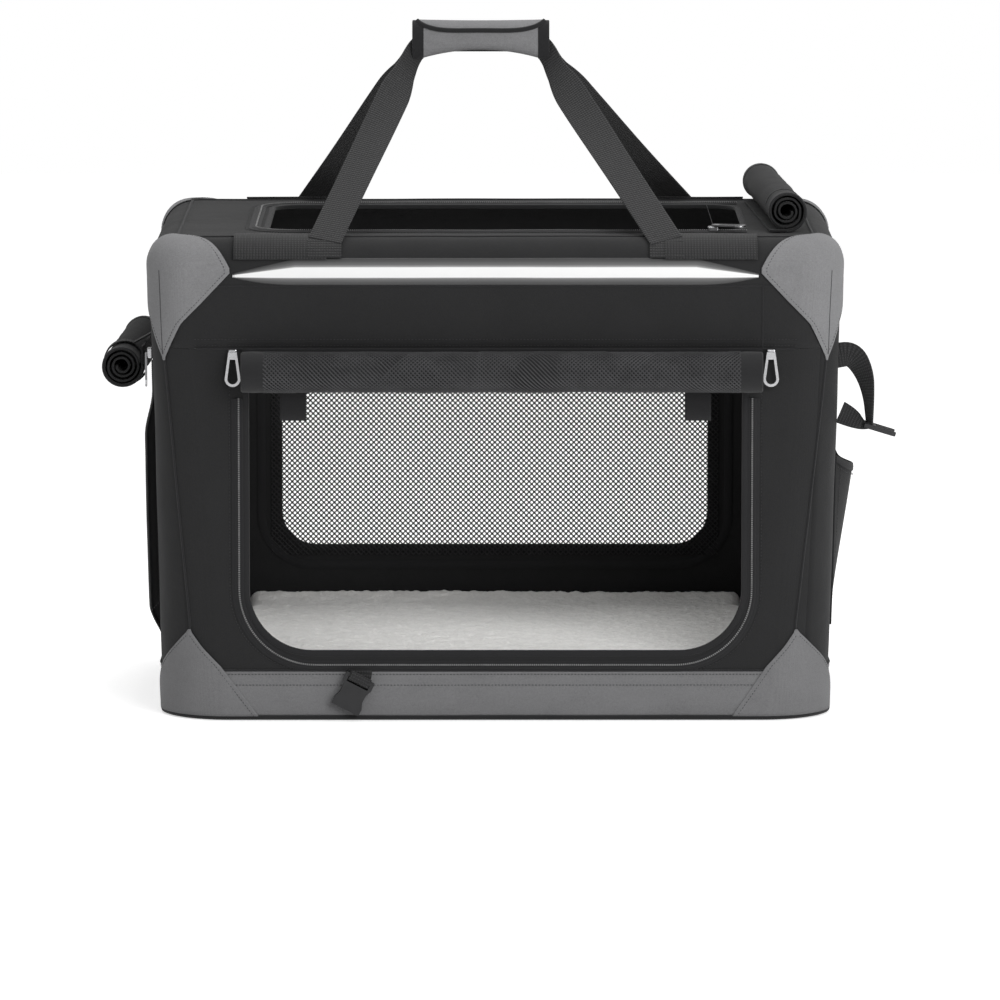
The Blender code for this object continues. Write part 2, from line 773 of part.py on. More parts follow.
def build_front():
    """Front panel round the doorway, header over it, edge strip, zip, roll and tabs."""
    gap = seam_share()
    seam = CORNER_SEAM_SHARE - gap
    places = places_between(-seam, 1 + seam, 6)
    wall = skin_panel("front_wall", wall_levels(WALL_LOW, HEADER_SEAM, 3, False), places, FABRIC)
    doorway = door_cutter(
        "front_doorway",
        (-DOOR_HALF_WIDTH, DOOR_SILL),
        (DOOR_HALF_WIDTH, HEADER_SEAM + DOOR_RADIUS),
        DOOR_RADIUS,
        NORTH * FRONT_Y,
        (EAST, UP),
    )
    finish(cut(wall, doorway), BLACK_CLOTH)
    levels = wall_levels(HEADER_SEAM + SEAT_GAP, HEIGHT - EDGE_RADIUS, 2)
    finish(skin_panel("front_header", levels, places, FABRIC), BLACK_CLOTH)

    out = SHEET_GAP + STRIP
    rows = []
    for height, half_length in ((STRIP_LOW, STRIP_HALF_LENGTH), (STRIP_HIGH - STRIP, STRIP_HALF_LENGTH)):
        section = level(height, out=out)
        places = [front_place(section, half_length * share) for share in (-1.0, 0.0, 1.0)]
        rows.append([around(section, place) for place in places])
    finish(solidify(loft("front_edge_strip", rows), STRIP), LIGHT_TRIM)

    zip_y = FRONT_Y - SEAT_GAP - ZIP_RADIUS
    path = zip_path(
        DOOR_HALF_WIDTH + ZIP_MARGIN,
        DOOR_SILL - ZIP_MARGIN,
        HEADER_SEAM - 2 * ROLL_RADIUS - SLIDER_LENGTH,
        DOOR_RADIUS + ZIP_MARGIN,
    )
    finish(tube("front_zip", [(x, zip_y, z) for x, z in path], ZIP_RADIUS, resolution=1), BLACK_CLOTH)

    centre_y = FRONT_Y - SEAT_GAP - ROLL_REACH
    start = Vector((FRONT_ROLL_LEFT, centre_y, HEADER_SEAM - ROLL_RADIUS))
    end = Vector((FRONT_ROLL_RIGHT, centre_y, HEADER_SEAM - ROLL_RADIUS))
    roll = build_roll("front_door_roll", start, end, -NORTH, -UP, WALL_ROLL_TURNS, UP * ROLL_RADIUS)
    finish(roll, BLACK_CLOTH)

    tab_y = FRONT_Y + FABRIC + SEAT_GAP
    for side, name in ((-1, "left_door_tab"), (1, "right_door_tab")):
        x = side * TAB_X
        rows = [
            [Vector((x - TAB_WIDTH / 2, tab_y, z)), Vector((x + TAB_WIDTH / 2, tab_y, z))]
            for z in (TAB_LOW, HEADER_SEAM, HEADER_SEAM + TAB_WIDTH)
        ]
        finish(solidify(loft(name, rows), TAB_THICKNESS), BLACK_CLOTH)


def build_roll(name, start, end, first, second, turns, tail):
    """A door rolled up on itself: one spiral of its sheet, whose outer end runs on to a seam."""
    steps = round(turns * ROLL_STEPS)
    rows = []
    for step in range(steps + 1):
        angle = 2 * math.pi * step / ROLL_STEPS
        radius = ROLL_CORE + ROLL_PITCH * step / ROLL_STEPS
        offset = first * (radius * math.cos(angle)) + second * (radius * math.sin(angle))
        rows.append([start + offset, end + offset])
    rows.append([start + offset + tail, end + offset + tail])
    least = ROLL_PITCH - ROLL_SHEET
    print(f"{name}: {turns:.1f} turns, least gap between them {least * 1000:.2f} mm")
    return solidify(loft(name, rows), ROLL_SHEET)


def build_back():
    """Back panel with its window, and the net sewn behind the window."""
    seam = CORNER_SEAM_SHARE - seam_share()
    places = places_between(4 - seam, 5 + seam, 6)
    wall = skin_panel("back_wall", wall_levels(WALL_LOW, HEIGHT - EDGE_RADIUS, 3), places, FABRIC)
    window = door_cutter(
        "back_window",
        (-WINDOW_HALF_WIDTH, WINDOW_LOW),
        (WINDOW_HALF_WIDTH, WINDOW_HIGH),
        WINDOW_RADIUS,
        NORTH * (DEPTH / 2),
        (EAST, UP),
    )
    finish(cut(wall, window), BLACK_CLOTH)
    build_net("back_window_net", DEPTH / 2 - FABRIC - SEAT_GAP - NET_THICKNESS)


def build_net(name, y):
    """Diamond net: a grid turned 45 degrees, trimmed, and opened inside each diamond."""
    half_width = WINDOW_HALF_WIDTH + NET_LAP
    low = WINDOW_LOW - NET_LAP
    high = WINDOW_HIGH + NET_LAP
    middle = (low + high) / 2
    cells = 2 * math.ceil((half_width + (high - low) / 2) / NET_PITCH)
    shape = bmesh.new()
    bmesh.ops.create_grid(shape, x_segments=cells, y_segments=cells, size=cells * NET_PITCH / 2)
    turn = Matrix.Rotation(math.pi / 4, 4, "Z")
    stand = Matrix.Rotation(math.pi / 2, 4, "X")
    bmesh.ops.transform(shape, matrix=stand @ turn, verts=shape.verts)
    bmesh.ops.translate(shape, vec=(0.0, y, middle), verts=shape.verts)
    for point, normal in (
        ((half_width, 0.0, 0.0), EAST),
        ((-half_width, 0.0, 0.0), -EAST),
        ((0.0, 0.0, high), UP),
        ((0.0, 0.0, low), -UP),
    ):
        bmesh.ops.bisect_plane(
            shape,
            geom=shape.verts[:] + shape.edges[:] + shape.faces[:],
            plane_co=point,
            plane_no=normal,
            dist=WELD,
            clear_outer=True,
        )
    bmesh.ops.remove_doubles(shape, verts=shape.verts, dist=NET_STRAND / 4)
    before = set(shape.faces)
    bmesh.ops.inset_individual(shape, faces=shape.faces[:], thickness=NET_STRAND / 2, use_even_offset=True)
    inner = [face for face in before if face.is_valid]
    bmesh.ops.delete(shape, geom=inner, context="FACES")
    mesh = bpy.data.meshes.new(name)
    shape.to_mesh(mesh)
    shape.free()
    finish(solidify(add_object(name, mesh), NET_THICKNESS), BLACK_CLOTH)


def end_point(side, y, height, out):
    """Point off an end wall at a height, out from the skin."""
    return Vector((side * (level(height).half_x + out), y, height))


def build_end_wall(side, name):
    gap = seam_share()
    start = (1 if side > 0 else 5) + CORNER_SEAM_SHARE + gap
    end = (4 if side > 0 else 8) - CORNER_SEAM_SHARE - gap
    places = places_between(start, end, 4)
    levels = wall_levels(WALL_LOW, HEIGHT - EDGE_RADIUS, 3)
    return skin_panel(name, levels, places, FABRIC)


def build_left_end(carrier):
    """Left end panel with its doorway, zip, rolled door and the strap that ties it."""
    wall = build_end_wall(-1, "left_end_wall")
    middle = level((END_DOOR_LOW + END_DOOR_HIGH) / 2)
    doorway = door_cutter(
        "left_doorway",
        (-END_DOOR_HALF_WIDTH, END_DOOR_LOW),
        (END_DOOR_HALF_WIDTH, END_DOOR_HIGH),
        END_DOOR_RADIUS,
        -EAST * middle.half_x,
        (NORTH, UP),
    )
    finish(cut(wall, doorway), BLACK_CLOTH, carrier)

    path = zip_path(
        END_DOOR_HALF_WIDTH + ZIP_MARGIN,
        END_DOOR_LOW - ZIP_MARGIN,
        END_DOOR_HIGH - SLIDER_LENGTH,
        END_DOOR_RADIUS + ZIP_MARGIN,
    )
    out = SHEET_GAP + ZIP_RADIUS
    points = [end_point(-1, y, z, out) for y, z in path]
    finish(tube("left_zip", points, ZIP_RADIUS, resolution=1), BLACK_CLOTH, carrier)

    centre = end_point(-1, 0.0, END_ROLL_Z, END_ROLL_GAP + ROLL_REACH)
    reach = NORTH * END_ROLL_HALF_LENGTH
    tail = UP * (END_DOOR_HIGH - END_ROLL_Z)
    roll = build_roll(
        "left_door_roll", centre + reach, centre - reach, -EAST, -UP, WALL_ROLL_TURNS, tail
    )
    finish(roll, BLACK_CLOTH, carrier)

    ring = ROLL_REACH + SHEET_GAP
    half_width = NORTH * (ROLL_STRAP_WIDTH / 2)
    at = centre + NORTH * ROLL_STRAP_Y
    offsets = []
    for height in (2 * ROLL_STRAP_SEWN, ROLL_STRAP_SEWN):
        root = end_point(-1, ROLL_STRAP_Y, END_DOOR_HIGH + height, SHEET_GAP)
        offsets.append(root - at)
    for step in range(ROLL_STRAP_STEPS + 1):
        angle = math.radians(ROLL_STRAP_FROM + (ROLL_STRAP_TO - ROLL_STRAP_FROM) * step / ROLL_STRAP_STEPS)
        offsets.append(-EAST * (ring * math.cos(angle)) - UP * (ring * math.sin(angle)))
    rows = [[at + offset + half_width, at + offset - half_width] for offset in offsets]
    finish(solidify(loft("left_roll_strap", rows), STRAP_SHEET), WEBBING_LOOK, carrier)


def build_right_end(carrier):
    """Right end panel and its open-topped pocket."""
    finish(build_end_wall(1, "right_end_wall"), BLACK_CLOTH, carrier)
    rows = []
    for row in range(POCKET_ROWS + 1):
        rise = row / POCKET_ROWS
        height = POCKET_LOW + (POCKET_HIGH - POCKET_LOW) * rise
        line = []
        for column in range(POCKET_COLUMNS + 1):
            across = 2 * column / POCKET_COLUMNS - 1
            bulge = POCKET_BULGE * rise * (1 - across ** 4)
            out = SHEET_GAP + POCKET_SHEET + bulge
            line.append(end_point(1, across * POCKET_HALF_WIDTH, height, out))
        rows.append(line)
    finish(solidify(loft("right_pocket", rows), POCKET_SHEET), BLACK_CLOTH, carrier)


def build_top(carrier):
    """Top panel round its opening, the zip on it, the rolled flap and the edge webbing."""
    section = level(0.0, 1.0)
    edge = section.half_x - 2 * SEAT_GAP - FABRIC * TOP_SEAM_TILT
    side_edge = section.half_y - 2 * SEAT_GAP - FABRIC * TOP_SEAM_TILT
    outline = rounded_box_outline((-edge, -side_edge), (edge, side_edge), section.radius)
    opening = rounded_box_outline(
        (TOP_OPENING_LEFT, TOP_OPENING_FRONT),
        (TOP_OPENING_RIGHT, TOP_OPENING_BACK),
        TOP_OPENING_RADIUS,
    )
    centre = UP * (HEIGHT - FABRIC / 2)
    finish(plate("top_panel", [outline, opening], FABRIC, centre, (EAST, NORTH)), BLACK_CLOTH, carrier)

    low_y = TOP_OPENING_FRONT - ZIP_MARGIN
    high_y = TOP_OPENING_BACK + ZIP_MARGIN
    far_x = TOP_OPENING_LEFT - ZIP_MARGIN
    radius = TOP_OPENING_RADIUS + ZIP_MARGIN
    path = (
        [(TOP_OPENING_RIGHT, high_y)]
        + arc((far_x + radius, high_y - radius), radius, 90, 180, 6)
        + arc((far_x + radius, low_y + radius), radius, 180, 270, 6)
        + [(TOP_SLIDER_X - SLIDER_LENGTH / 2 - ZIP_RADIUS, low_y)]
    )
    height = HEIGHT + SEAT_GAP + ZIP_RADIUS
    finish(tube("top_zip", [(x, y, height) for x, y in path], ZIP_RADIUS, resolution=1), BLACK_CLOTH, carrier)

    radius = ROLL_CORE + ROLL_PITCH * TOP_ROLL_TURNS
    centre_z = HEIGHT + SEAT_GAP + radius + ROLL_SHEET
    start = Vector((TOP_ROLL_FRONT_X, TOP_ROLL_FRONT, centre_z))
    end = Vector((TOP_ROLL_BACK_X, TOP_ROLL_BACK, centre_z))
    tail = -EAST * TOP_ROLL_TAIL
    roll = build_roll("top_flap_roll", start, end, EAST, -UP, TOP_ROLL_TURNS, tail)
    finish(roll, BLACK_CLOTH, carrier)

    for side, end_name in ((-1, "left"), (1, "right")):
        for back, face in ((0, "front"), (1, "back")):
            name = f"{face}_{end_name}_edge_webbing"
            finish(edge_webbing(name, side, back), WEBBING_LOOK, carrier)


def edge_webbing(name, side, back):
    """Handle webbing sewn along the rounded top edge, from a handle foot to the corner."""
    place_on = back_place if back else front_place
    rows = []
    for step in range(TURN_STEPS + 1):
        share = WEBBING_TURN_SHARE + (1 - WEBBING_TURN_SHARE) * step / TURN_STEPS
        section = level(0.0, share, SHEET_GAP + WEBBING)
        ends = sorted(
            place_on(section, side * x) for x in (WEBBING_INNER_X, WEBBING_OUTER_X)
        )
        rows.append([
            around(section, ends[0] + (ends[1] - ends[0]) * column / 2) for column in range(3)
        ])
    return solidify(loft(name, rows), WEBBING)


def smooth_path(knots):
    """Path with its corners cut and cut again, each knot a place and a width direction."""
    path = [tuple(knot) for knot in knots]
    for _ in range(CORNER_CUTS):
        smoother = [path[0]]
        for near, far in zip(path, path[1:]):
            for share in (0.25, 0.75):
                smoother.append(tuple(a.lerp(b, share) for a, b in zip(near, far)))
        smoother.append(path[-1])
        path = smoother
    return path


def ribbon(name, knots, width, thickness):
    """Flat strap along a smooth path, turning with its width directions."""
    path = smooth_path(knots)
    rows = []
    for index, (place, across) in enumerate(path):
        before = path[max(index - 1, 0)][0]
        after = path[min(index + 1, len(path) - 1)][0]
        along = (after - before).normalized()
        side = (across - along * across.dot(along)).normalized() * (width / 2)
        facing = side.cross(along).normalized() * (thickness / 2)
        rows.append([place - side + facing, place + side + facing])
    return solidify(loft(name, rows), thickness)


def build_handle(carrier):
    """Two webbing straps that meet in a padded grip over the middle of the top."""
    middle_z = (GRIP_LOW + GRIP_HIGH) / 2
    for back, name, foot_x in (
        (-1, "front_handle_strap", HANDLE_FOOT_FRONT_X),
        (1, "back_handle_strap", HANDLE_FOOT_BACK_X),
    ):
        place_on = back_place if back > 0 else front_place
        out = SHEET_GAP + WEBBING + HANDLE_FOOT_GAP + WEBBING / 2
        section = level(0.0, HANDLE_FOOT_TURN_SHARE, out)
        left_foot = around(section, place_on(section, -foot_x))
        right_foot = around(section, place_on(section, foot_x))
        strap_y = back * GRIP_STRAP_Y
        leg_y = back * LEG_TOP_Y
        left_top = Vector((GRIP_LEFT - LEG_TOP_X, leg_y, middle_z - LEG_TOP_DROP))
        right_top = Vector((GRIP_RIGHT + LEG_TOP_X, leg_y, middle_z - LEG_TOP_DROP))
        knots = [
            (left_foot, EAST.copy()),
            (left_foot.lerp(left_top, 0.5), EAST.copy()),
            (left_top, (EAST - UP).normalized()),
            (Vector((GRIP_LEFT - GRIP_LEAD, strap_y, middle_z)), -UP),
            (Vector((GRIP_LEFT + GRIP_LEAD, strap_y, middle_z)), -UP),
            (Vector(((GRIP_LEFT + GRIP_RIGHT) / 2, strap_y, middle_z)), -UP),
            (Vector((GRIP_RIGHT - GRIP_LEAD, strap_y, middle_z)), -UP),
            (Vector((GRIP_RIGHT + GRIP_LEAD, strap_y, middle_z)), -UP),
            (right_top, (-EAST - UP).normalized()),
            (right_foot.lerp(right_top, 0.5), -EAST),
            (right_foot, -EAST),
        ]
        strap = ribbon(name, knots, WEBBING_WIDTH, WEBBING)
        finish(strap, WEBBING_LOOK, carrier)

    ring = rounded_box_outline(
        (-GRIP_HALF_DEPTH, GRIP_LOW), (GRIP_HALF_DEPTH, GRIP_HIGH), GRIP_CORNER_RADIUS, steps=4
    )[::-1]
    rows = [
        [Vector((x, y, z)) for y, z in ring]
        for x in (GRIP_LEFT, (GRIP_LEFT + GRIP_RIGHT) / 2, GRIP_RIGHT)
    ]
    grip = loft("grip_wrap", rows, closed=True)
    grip.data.flip_normals()
    finish(solidify(grip, GRIP_WALL), GREY_CLOTH, carrier)


def build_slider(name, centre, size, carrier):
    bpy.ops.mesh.primitive_cube_add(size=1.0, location=centre)
    slider = bpy.context.object
    slider.name = name
    for home in list(slider.users_collection):
        home.objects.unlink(slider)
    CRATE.objects.link(slider)
    slider.data.transform(Matrix.Diagonal((*size, 1.0)))
    finish(bevel(slider, SLIDER_BEVEL), CHROME, carrier)


def build_pull(name, hinge, hang, across, carrier):
    """Zip pull with a finger loop, hanging from its slider along the given direction."""
    outline = [(-PULL_NECK, 0.0)] + [(PULL_NECK, 0.0)]
    outline += arc((0.0, PULL_LENGTH - PULL_HALF_WIDTH), PULL_HALF_WIDTH, 0, 180, 10)
    inner = PULL_HALF_WIDTH - PULL_RIM
    neck = PULL_NECK + PULL_RIM
    hole = [(-inner / 2, neck), (inner / 2, neck)]
    hole += arc((0.0, PULL_LENGTH - PULL_HALF_WIDTH), inner, 0, 180, 10)
    axes = (across, hang)
    finish(plate(name, [outline, hole], PULL, hinge, axes), CHROME, carrier)


def build_zip_ends(carriers):
    """Sliders parked at the ends of their zips, each with its hanging pull."""
    front_x = DOOR_HALF_WIDTH + ZIP_MARGIN
    slider_y = FRONT_Y - SEAT_GAP - SLIDER_THICKNESS / 2
    slider_z = HEADER_SEAM - SLIDER_LENGTH / 2
    for side, end in ((-1, "left"), (1, "right")):
        size = (SLIDER_WIDTH, SLIDER_THICKNESS, SLIDER_LENGTH)
        x = front_x + RIGHT_SLIDER_SHIFT if side > 0 else -front_x
        centre = Vector((x, slider_y, slider_z))
        build_slider(f"front_{end}_slider", centre, size, carriers["front_zip"])
        hinge = Vector((x, FRONT_PULL_Y, FRONT_PULL_Z))
        build_pull(f"front_{end}_pull", hinge, -UP, EAST, carriers[f"front_{end}_pull"])

    place = left_slider_place()
    size = (SLIDER_THICKNESS, SLIDER_WIDTH, SLIDER_LENGTH)
    build_slider("left_end_slider", place, size, carriers["left"])
    build_pull("left_end_pull", left_pull_hinge(), -UP, NORTH, carriers["left_pull"])

    size = (SLIDER_LENGTH, SLIDER_WIDTH, SLIDER_THICKNESS)
    build_slider("top_slider", top_slider_place(), size, carriers["top"])
    hang = Vector((math.cos(TOP_PULL_TURN), math.sin(TOP_PULL_TURN), 0.0))
    build_pull("top_pull", top_pull_hinge(), hang, UP.cross(hang), carriers["top_pull"])


FRONT_PULL_Y = FRONT_Y - SEAT_GAP - SLIDER_THICKNESS - SEAT_GAP - PULL / 2
FRONT_PULL_Z = HEADER_SEAM - PULL_RIM


def left_slider_place():
    height = END_DOOR_HIGH - SLIDER_LENGTH / 2 + SEAT_GAP
    out = SHEET_GAP + SLIDER_THICKNESS / 2
    return end_point(-1, -END_DOOR_HALF_WIDTH - ZIP_MARGIN, height, out)


def left_pull_hinge():
    place = left_slider_place()
    out = SLIDER_THICKNESS / 2 + SEAT_GAP + PULL / 2
    return place - EAST * out


def top_slider_place():
    y = TOP_OPENING_FRONT - ZIP_MARGIN
    return Vector((TOP_SLIDER_X, y, HEIGHT + SEAT_GAP + SLIDER_THICKNESS / 2))


def top_pull_hinge():
    return top_slider_place() + UP * (SLIDER_THICKNESS / 2 + SEAT_GAP + PULL / 2)


def closure_root():
    return Vector((level(CLOSURE_Z).half_x + SEAT_GAP, CLOSURE_Y, CLOSURE_Z))


def build_closure(carrier):
    """Closing strap that hangs off the right end, with the male half of its buckle."""
    root = closure_root()
    knots = [(root, NORTH.copy())]
    for out, drop in CLOSURE_SHARES:
        knots.append((root + EAST * (out * CLOSURE_OUT) - UP * (drop * CLOSURE_DROP), NORTH.copy()))
    strap = ribbon("closure_strap", knots, CLOSURE_WIDTH, WEBBING)
    finish(strap, WEBBING_LOOK, carrier)

    along = Vector((math.cos(MALE_TILT), 0.0, math.sin(MALE_TILT)))
    below = SEAT_GAP + (MALE_THICKNESS / 2 + WEBBING / 2 * math.sin(-MALE_TILT)) / math.cos(MALE_TILT)
    centre = knots[-1][0] - UP * below
    half = BUCKLE_HALF_WIDTH
    slot_low = BUCKLE_BAR
    slot_high = BUCKLE_BAR + BUCKLE_SLOT
    body_end = slot_high + BUCKLE_BAR
    tip = body_end + PRONG_LENGTH
    outline = [
        (-half, 0.0), (half, 0.0), (half, body_end),
        (half, tip - PRONG_WIDTH), (half - PRONG_WIDTH / 2, tip), (half - PRONG_WIDTH, tip - PRONG_WIDTH),
        (half - PRONG_WIDTH, body_end), (PRONG_WIDTH / 2, body_end), (PRONG_WIDTH / 2, tip - PRONG_WIDTH),
        (-PRONG_WIDTH / 2, tip - PRONG_WIDTH), (-PRONG_WIDTH / 2, body_end),
        (-half + PRONG_WIDTH, body_end), (-half + PRONG_WIDTH, tip - PRONG_WIDTH),
        (-half + PRONG_WIDTH / 2, tip), (-half, tip - PRONG_WIDTH), (-half, body_end),
    ]
    inner = half - BUCKLE_BAR
    slot = [(-inner, slot_low), (inner, slot_low), (inner, slot_high), (-inner, slot_high)]
    start = centre - along * (body_end / 2)
    male = plate("male_buckle", [outline, slot], MALE_THICKNESS, start, (NORTH, along))
    finish(bevel(male, PLATE / 4, 1), PLASTIC, carrier)


def female_top():
    """Middle of the female buckle's webbing bar, on the front of the base band."""
    return Vector((FEMALE_X, FRONT_Y - FEMALE_STANDOFF - BUCKLE_THICKNESS / 2, FEMALE_Z))


FEMALE_STANDOFF = 2 * SHEET_GAP + WEBBING


def build_female_buckle(carrier):
    """Female half: a hollow housing open at its mouth, with side windows and a web bar."""
    hang = Vector((-math.sin(FEMALE_TILT), 0.0, -math.cos(FEMALE_TILT)))
    across = Vector((math.cos(FEMALE_TILT), 0.0, -math.sin(FEMALE_TILT)))
    half = BUCKLE_HALF_WIDTH
    waist = half - PRONG_WIDTH * WAIST_DEPTH_SHARE
    length = BUCKLE_LENGTH
    shares = WAIST_SHARES
    right_side = list(zip((half, waist, waist, half), (length * share for share in shares)))
    left_side = [(-across_at, along_at) for across_at, along_at in reversed(right_side)]
    outline = [(-half, 0.0), (half, 0.0)] + right_side
    outline += [(half, length), (-half, length)] + left_side
    inner = half - BUCKLE_BAR
    slot = [(-inner, BUCKLE_BAR), (inner, BUCKLE_BAR),
            (inner, BUCKLE_BAR + BUCKLE_SLOT), (-inner, BUCKLE_BAR + BUCKLE_SLOT)]
    top = female_top()
    female = plate("female_buckle", [outline, slot], BUCKLE_THICKNESS, top, (across, hang))
    mouth = [
        (-waist + BUCKLE_WALL, BUCKLE_BAR * 2 + BUCKLE_SLOT + BUCKLE_WALL),
        (waist - BUCKLE_WALL, BUCKLE_BAR * 2 + BUCKLE_SLOT + BUCKLE_WALL),
        (waist - BUCKLE_WALL, length + CUT_OVERRUN),
        (-waist + BUCKLE_WALL, length + CUT_OVERRUN),
    ]
    socket = plate("buckle_socket", [mouth], BUCKLE_THICKNESS - 2 * BUCKLE_WALL, top, (across, hang))
    finish(cut(female, socket), PLASTIC, carrier)


def build_buckle_loop():
    """Webbing tab sewn to the base seam, which passes through the buckle's slot."""
    hang = Vector((-math.sin(FEMALE_TILT), 0.0, -math.cos(FEMALE_TILT)))
    across = Vector((math.cos(FEMALE_TILT), 0.0, -math.sin(FEMALE_TILT)))
    top = female_top()
    slot = top + hang * (BUCKLE_BAR + BUCKLE_SLOT / 2)
    near = BUCKLE_THICKNESS / 2 + 2 * SHEET_GAP + WEBBING / 2
    wall_y = FRONT_Y - SHEET_GAP - WEBBING / 2
    knots = [
        (Vector((top.x, wall_y, LOOP_TOP)), EAST.copy()),
        (Vector((top.x, wall_y, LOOP_TOP - LOOP_STAND)), (EAST + across).normalized()),
        (Vector((slot.x, wall_y, slot.z)), across.copy()),
        (slot, across.copy()),
        (slot - NORTH * near, across.copy()),
        (top - NORTH * near, across.copy()),
        (top - NORTH * near / 2 - hang * (WEBBING + SHEET_GAP), across.copy()),
    ]
    width = 2 * (BUCKLE_HALF_WIDTH - BUCKLE_BAR) - 2 * SHEET_GAP
    loop = ribbon("buckle_loop", knots, width, WEBBING)
    finish(loop, WEBBING_LOOK)


def main():
    slider_z = HEADER_SEAM - SLIDER_LENGTH
    front_x = DOOR_HALF_WIDTH + ZIP_MARGIN
    carriers = {
        "left": carrier_at("left_end_hinge", (-PIVOT_X, 0.0, LEFT_PIVOT_Z)),
        "right": carrier_at("right_end_hinge", (PIVOT_X, 0.0, RIGHT_PIVOT_Z)),
        "top": carrier_at("top_carrier", (0.0, 0.0, HEIGHT)),
        "handle": carrier_at("handle_carrier", (0.0, 0.0, GRIP_LOW)),
        "front_zip": carrier_at("front_zip_carrier", (0.0, FRONT_Y, slider_z)),
        "front_left_pull": carrier_at(
            "front_left_pull_hinge", (-front_x, FRONT_PULL_Y, FRONT_PULL_Z)
        ),
        "front_right_pull": carrier_at(
            "front_right_pull_hinge", (front_x + RIGHT_SLIDER_SHIFT, FRONT_PULL_Y, FRONT_PULL_Z)
        ),
        "left_pull": carrier_at("left_pull_hinge", left_pull_hinge()),
        "top_pull": carrier_at("top_pull_hinge", top_pull_hinge()),
        "closure": carrier_at("closure_hinge", closure_root()),
        "female": carrier_at("female_buckle_hinge", female_top()),
    }
    build_base()
    for quarter, corner, end in (
        (0, "front_right", "right"),
        (1, "back_right", "right"),
        (2, "back_left", "left"),
        (3, "front_left", "left"),
    ):
        build_patches(quarter, corner, carriers[end])
    build_frames(carriers)
    build_front()
    build_back()
    build_left_end(carriers["left"])
    build_right_end(carriers["right"])
    build_top(carriers["top"])
    build_handle(carriers["handle"])
    build_zip_ends(carriers)
    build_closure(carriers["closure"])
    build_female_buckle(carriers["female"])
    build_buckle_loop()


main()
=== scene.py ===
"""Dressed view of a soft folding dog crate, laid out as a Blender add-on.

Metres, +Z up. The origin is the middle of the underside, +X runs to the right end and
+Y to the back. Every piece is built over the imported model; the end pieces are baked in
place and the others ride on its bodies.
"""

import math
from collections import namedtuple

import bmesh
import bpy
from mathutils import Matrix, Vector, noise


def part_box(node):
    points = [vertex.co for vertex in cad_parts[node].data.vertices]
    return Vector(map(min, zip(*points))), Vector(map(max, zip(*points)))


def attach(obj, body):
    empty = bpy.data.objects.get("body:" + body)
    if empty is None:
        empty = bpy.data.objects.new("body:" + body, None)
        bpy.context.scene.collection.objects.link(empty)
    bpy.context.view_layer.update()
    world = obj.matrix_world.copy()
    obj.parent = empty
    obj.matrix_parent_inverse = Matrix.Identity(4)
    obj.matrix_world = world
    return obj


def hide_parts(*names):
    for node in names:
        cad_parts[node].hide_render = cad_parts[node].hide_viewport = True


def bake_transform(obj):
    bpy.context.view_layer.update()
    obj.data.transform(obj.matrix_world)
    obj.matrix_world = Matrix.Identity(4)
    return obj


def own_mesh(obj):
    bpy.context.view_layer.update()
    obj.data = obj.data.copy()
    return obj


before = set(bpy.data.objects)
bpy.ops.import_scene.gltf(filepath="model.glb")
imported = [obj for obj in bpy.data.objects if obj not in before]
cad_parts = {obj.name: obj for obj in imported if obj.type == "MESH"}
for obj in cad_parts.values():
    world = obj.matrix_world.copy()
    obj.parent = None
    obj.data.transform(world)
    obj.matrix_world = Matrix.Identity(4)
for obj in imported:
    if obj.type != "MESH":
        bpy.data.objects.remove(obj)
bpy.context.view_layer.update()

bl_info = {
    "name": "Soft Folding Dog Crate",
    "version": (1, 0, 0),
    "blender": (4, 5, 0),
    "location": "3D View > Sidebar > Dog Crate",
    "description": "Builds the fabric, webbing, zips, net and fleece of a folding dog crate",
    "category": "Object",
}

WAVE_SCALE = 0.3142
EAST = Vector((1.0, 0.0, 0.0))
NORTH = Vector((0.0, 1.0, 0.0))
UP = Vector((0.0, 0.0, 1.0))

# Cabin skin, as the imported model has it
HEIGHT = 0.460
TOP_LENGTH = 0.660
BASE_LENGTH = 0.637
DEPTH = 0.460
BASE_CORNER_RADIUS = 0.065
TOP_CORNER_RADIUS = 0.040
EDGE_RADIUS = 0.027
FABRIC = 0.002
CORNER_SEAM = 0.3985
FRONT_Y = -DEPTH / 2
PROBE = 0.001
EDGE_STEPS = 9
SHARP_ANGLE = math.radians(38)

# Base tray
BASE_PANEL = 0.004
BAND_LOW = 0.0043
WALL_LOW = 0.0478
UNDERSIDE_PROFILE = (
    (0.0050, 0.0002), (0.0016, 0.0004), (0.0004, 0.0012),
    (0.0002, 0.0028), (0.0014, 0.0038), (0.0050, 0.0040),
)
BAND_PROFILE = (
    (0.0044, 0.0003), (0.0065, 0.0009), (0.018, 0.0013), (0.030, 0.0012), (0.0335, 0.0008),
    (0.0390, 0.0010), (0.0440, 0.0006), (0.0468, 0.0008), (0.0479, 0.0002),
)
BAND_STITCH_ROWS = (0.0342, 0.0446)
BAND_SEAM_HEIGHT = 0.0483
BASE_PIPING_RADIUS = 0.0021

# Fleece pad
PAD_NOTCH_X = 0.2472
PAD_NOTCH_Y = 0.1700
PAD_SIDE = 0.017
PAD_ROUND = 0.016
PAD_TURN_UP = 0.014
PAD_TURN_RUN = 0.045
PAD_RIM = ((0.0055, -0.0012), (0.0120, 0.0008))
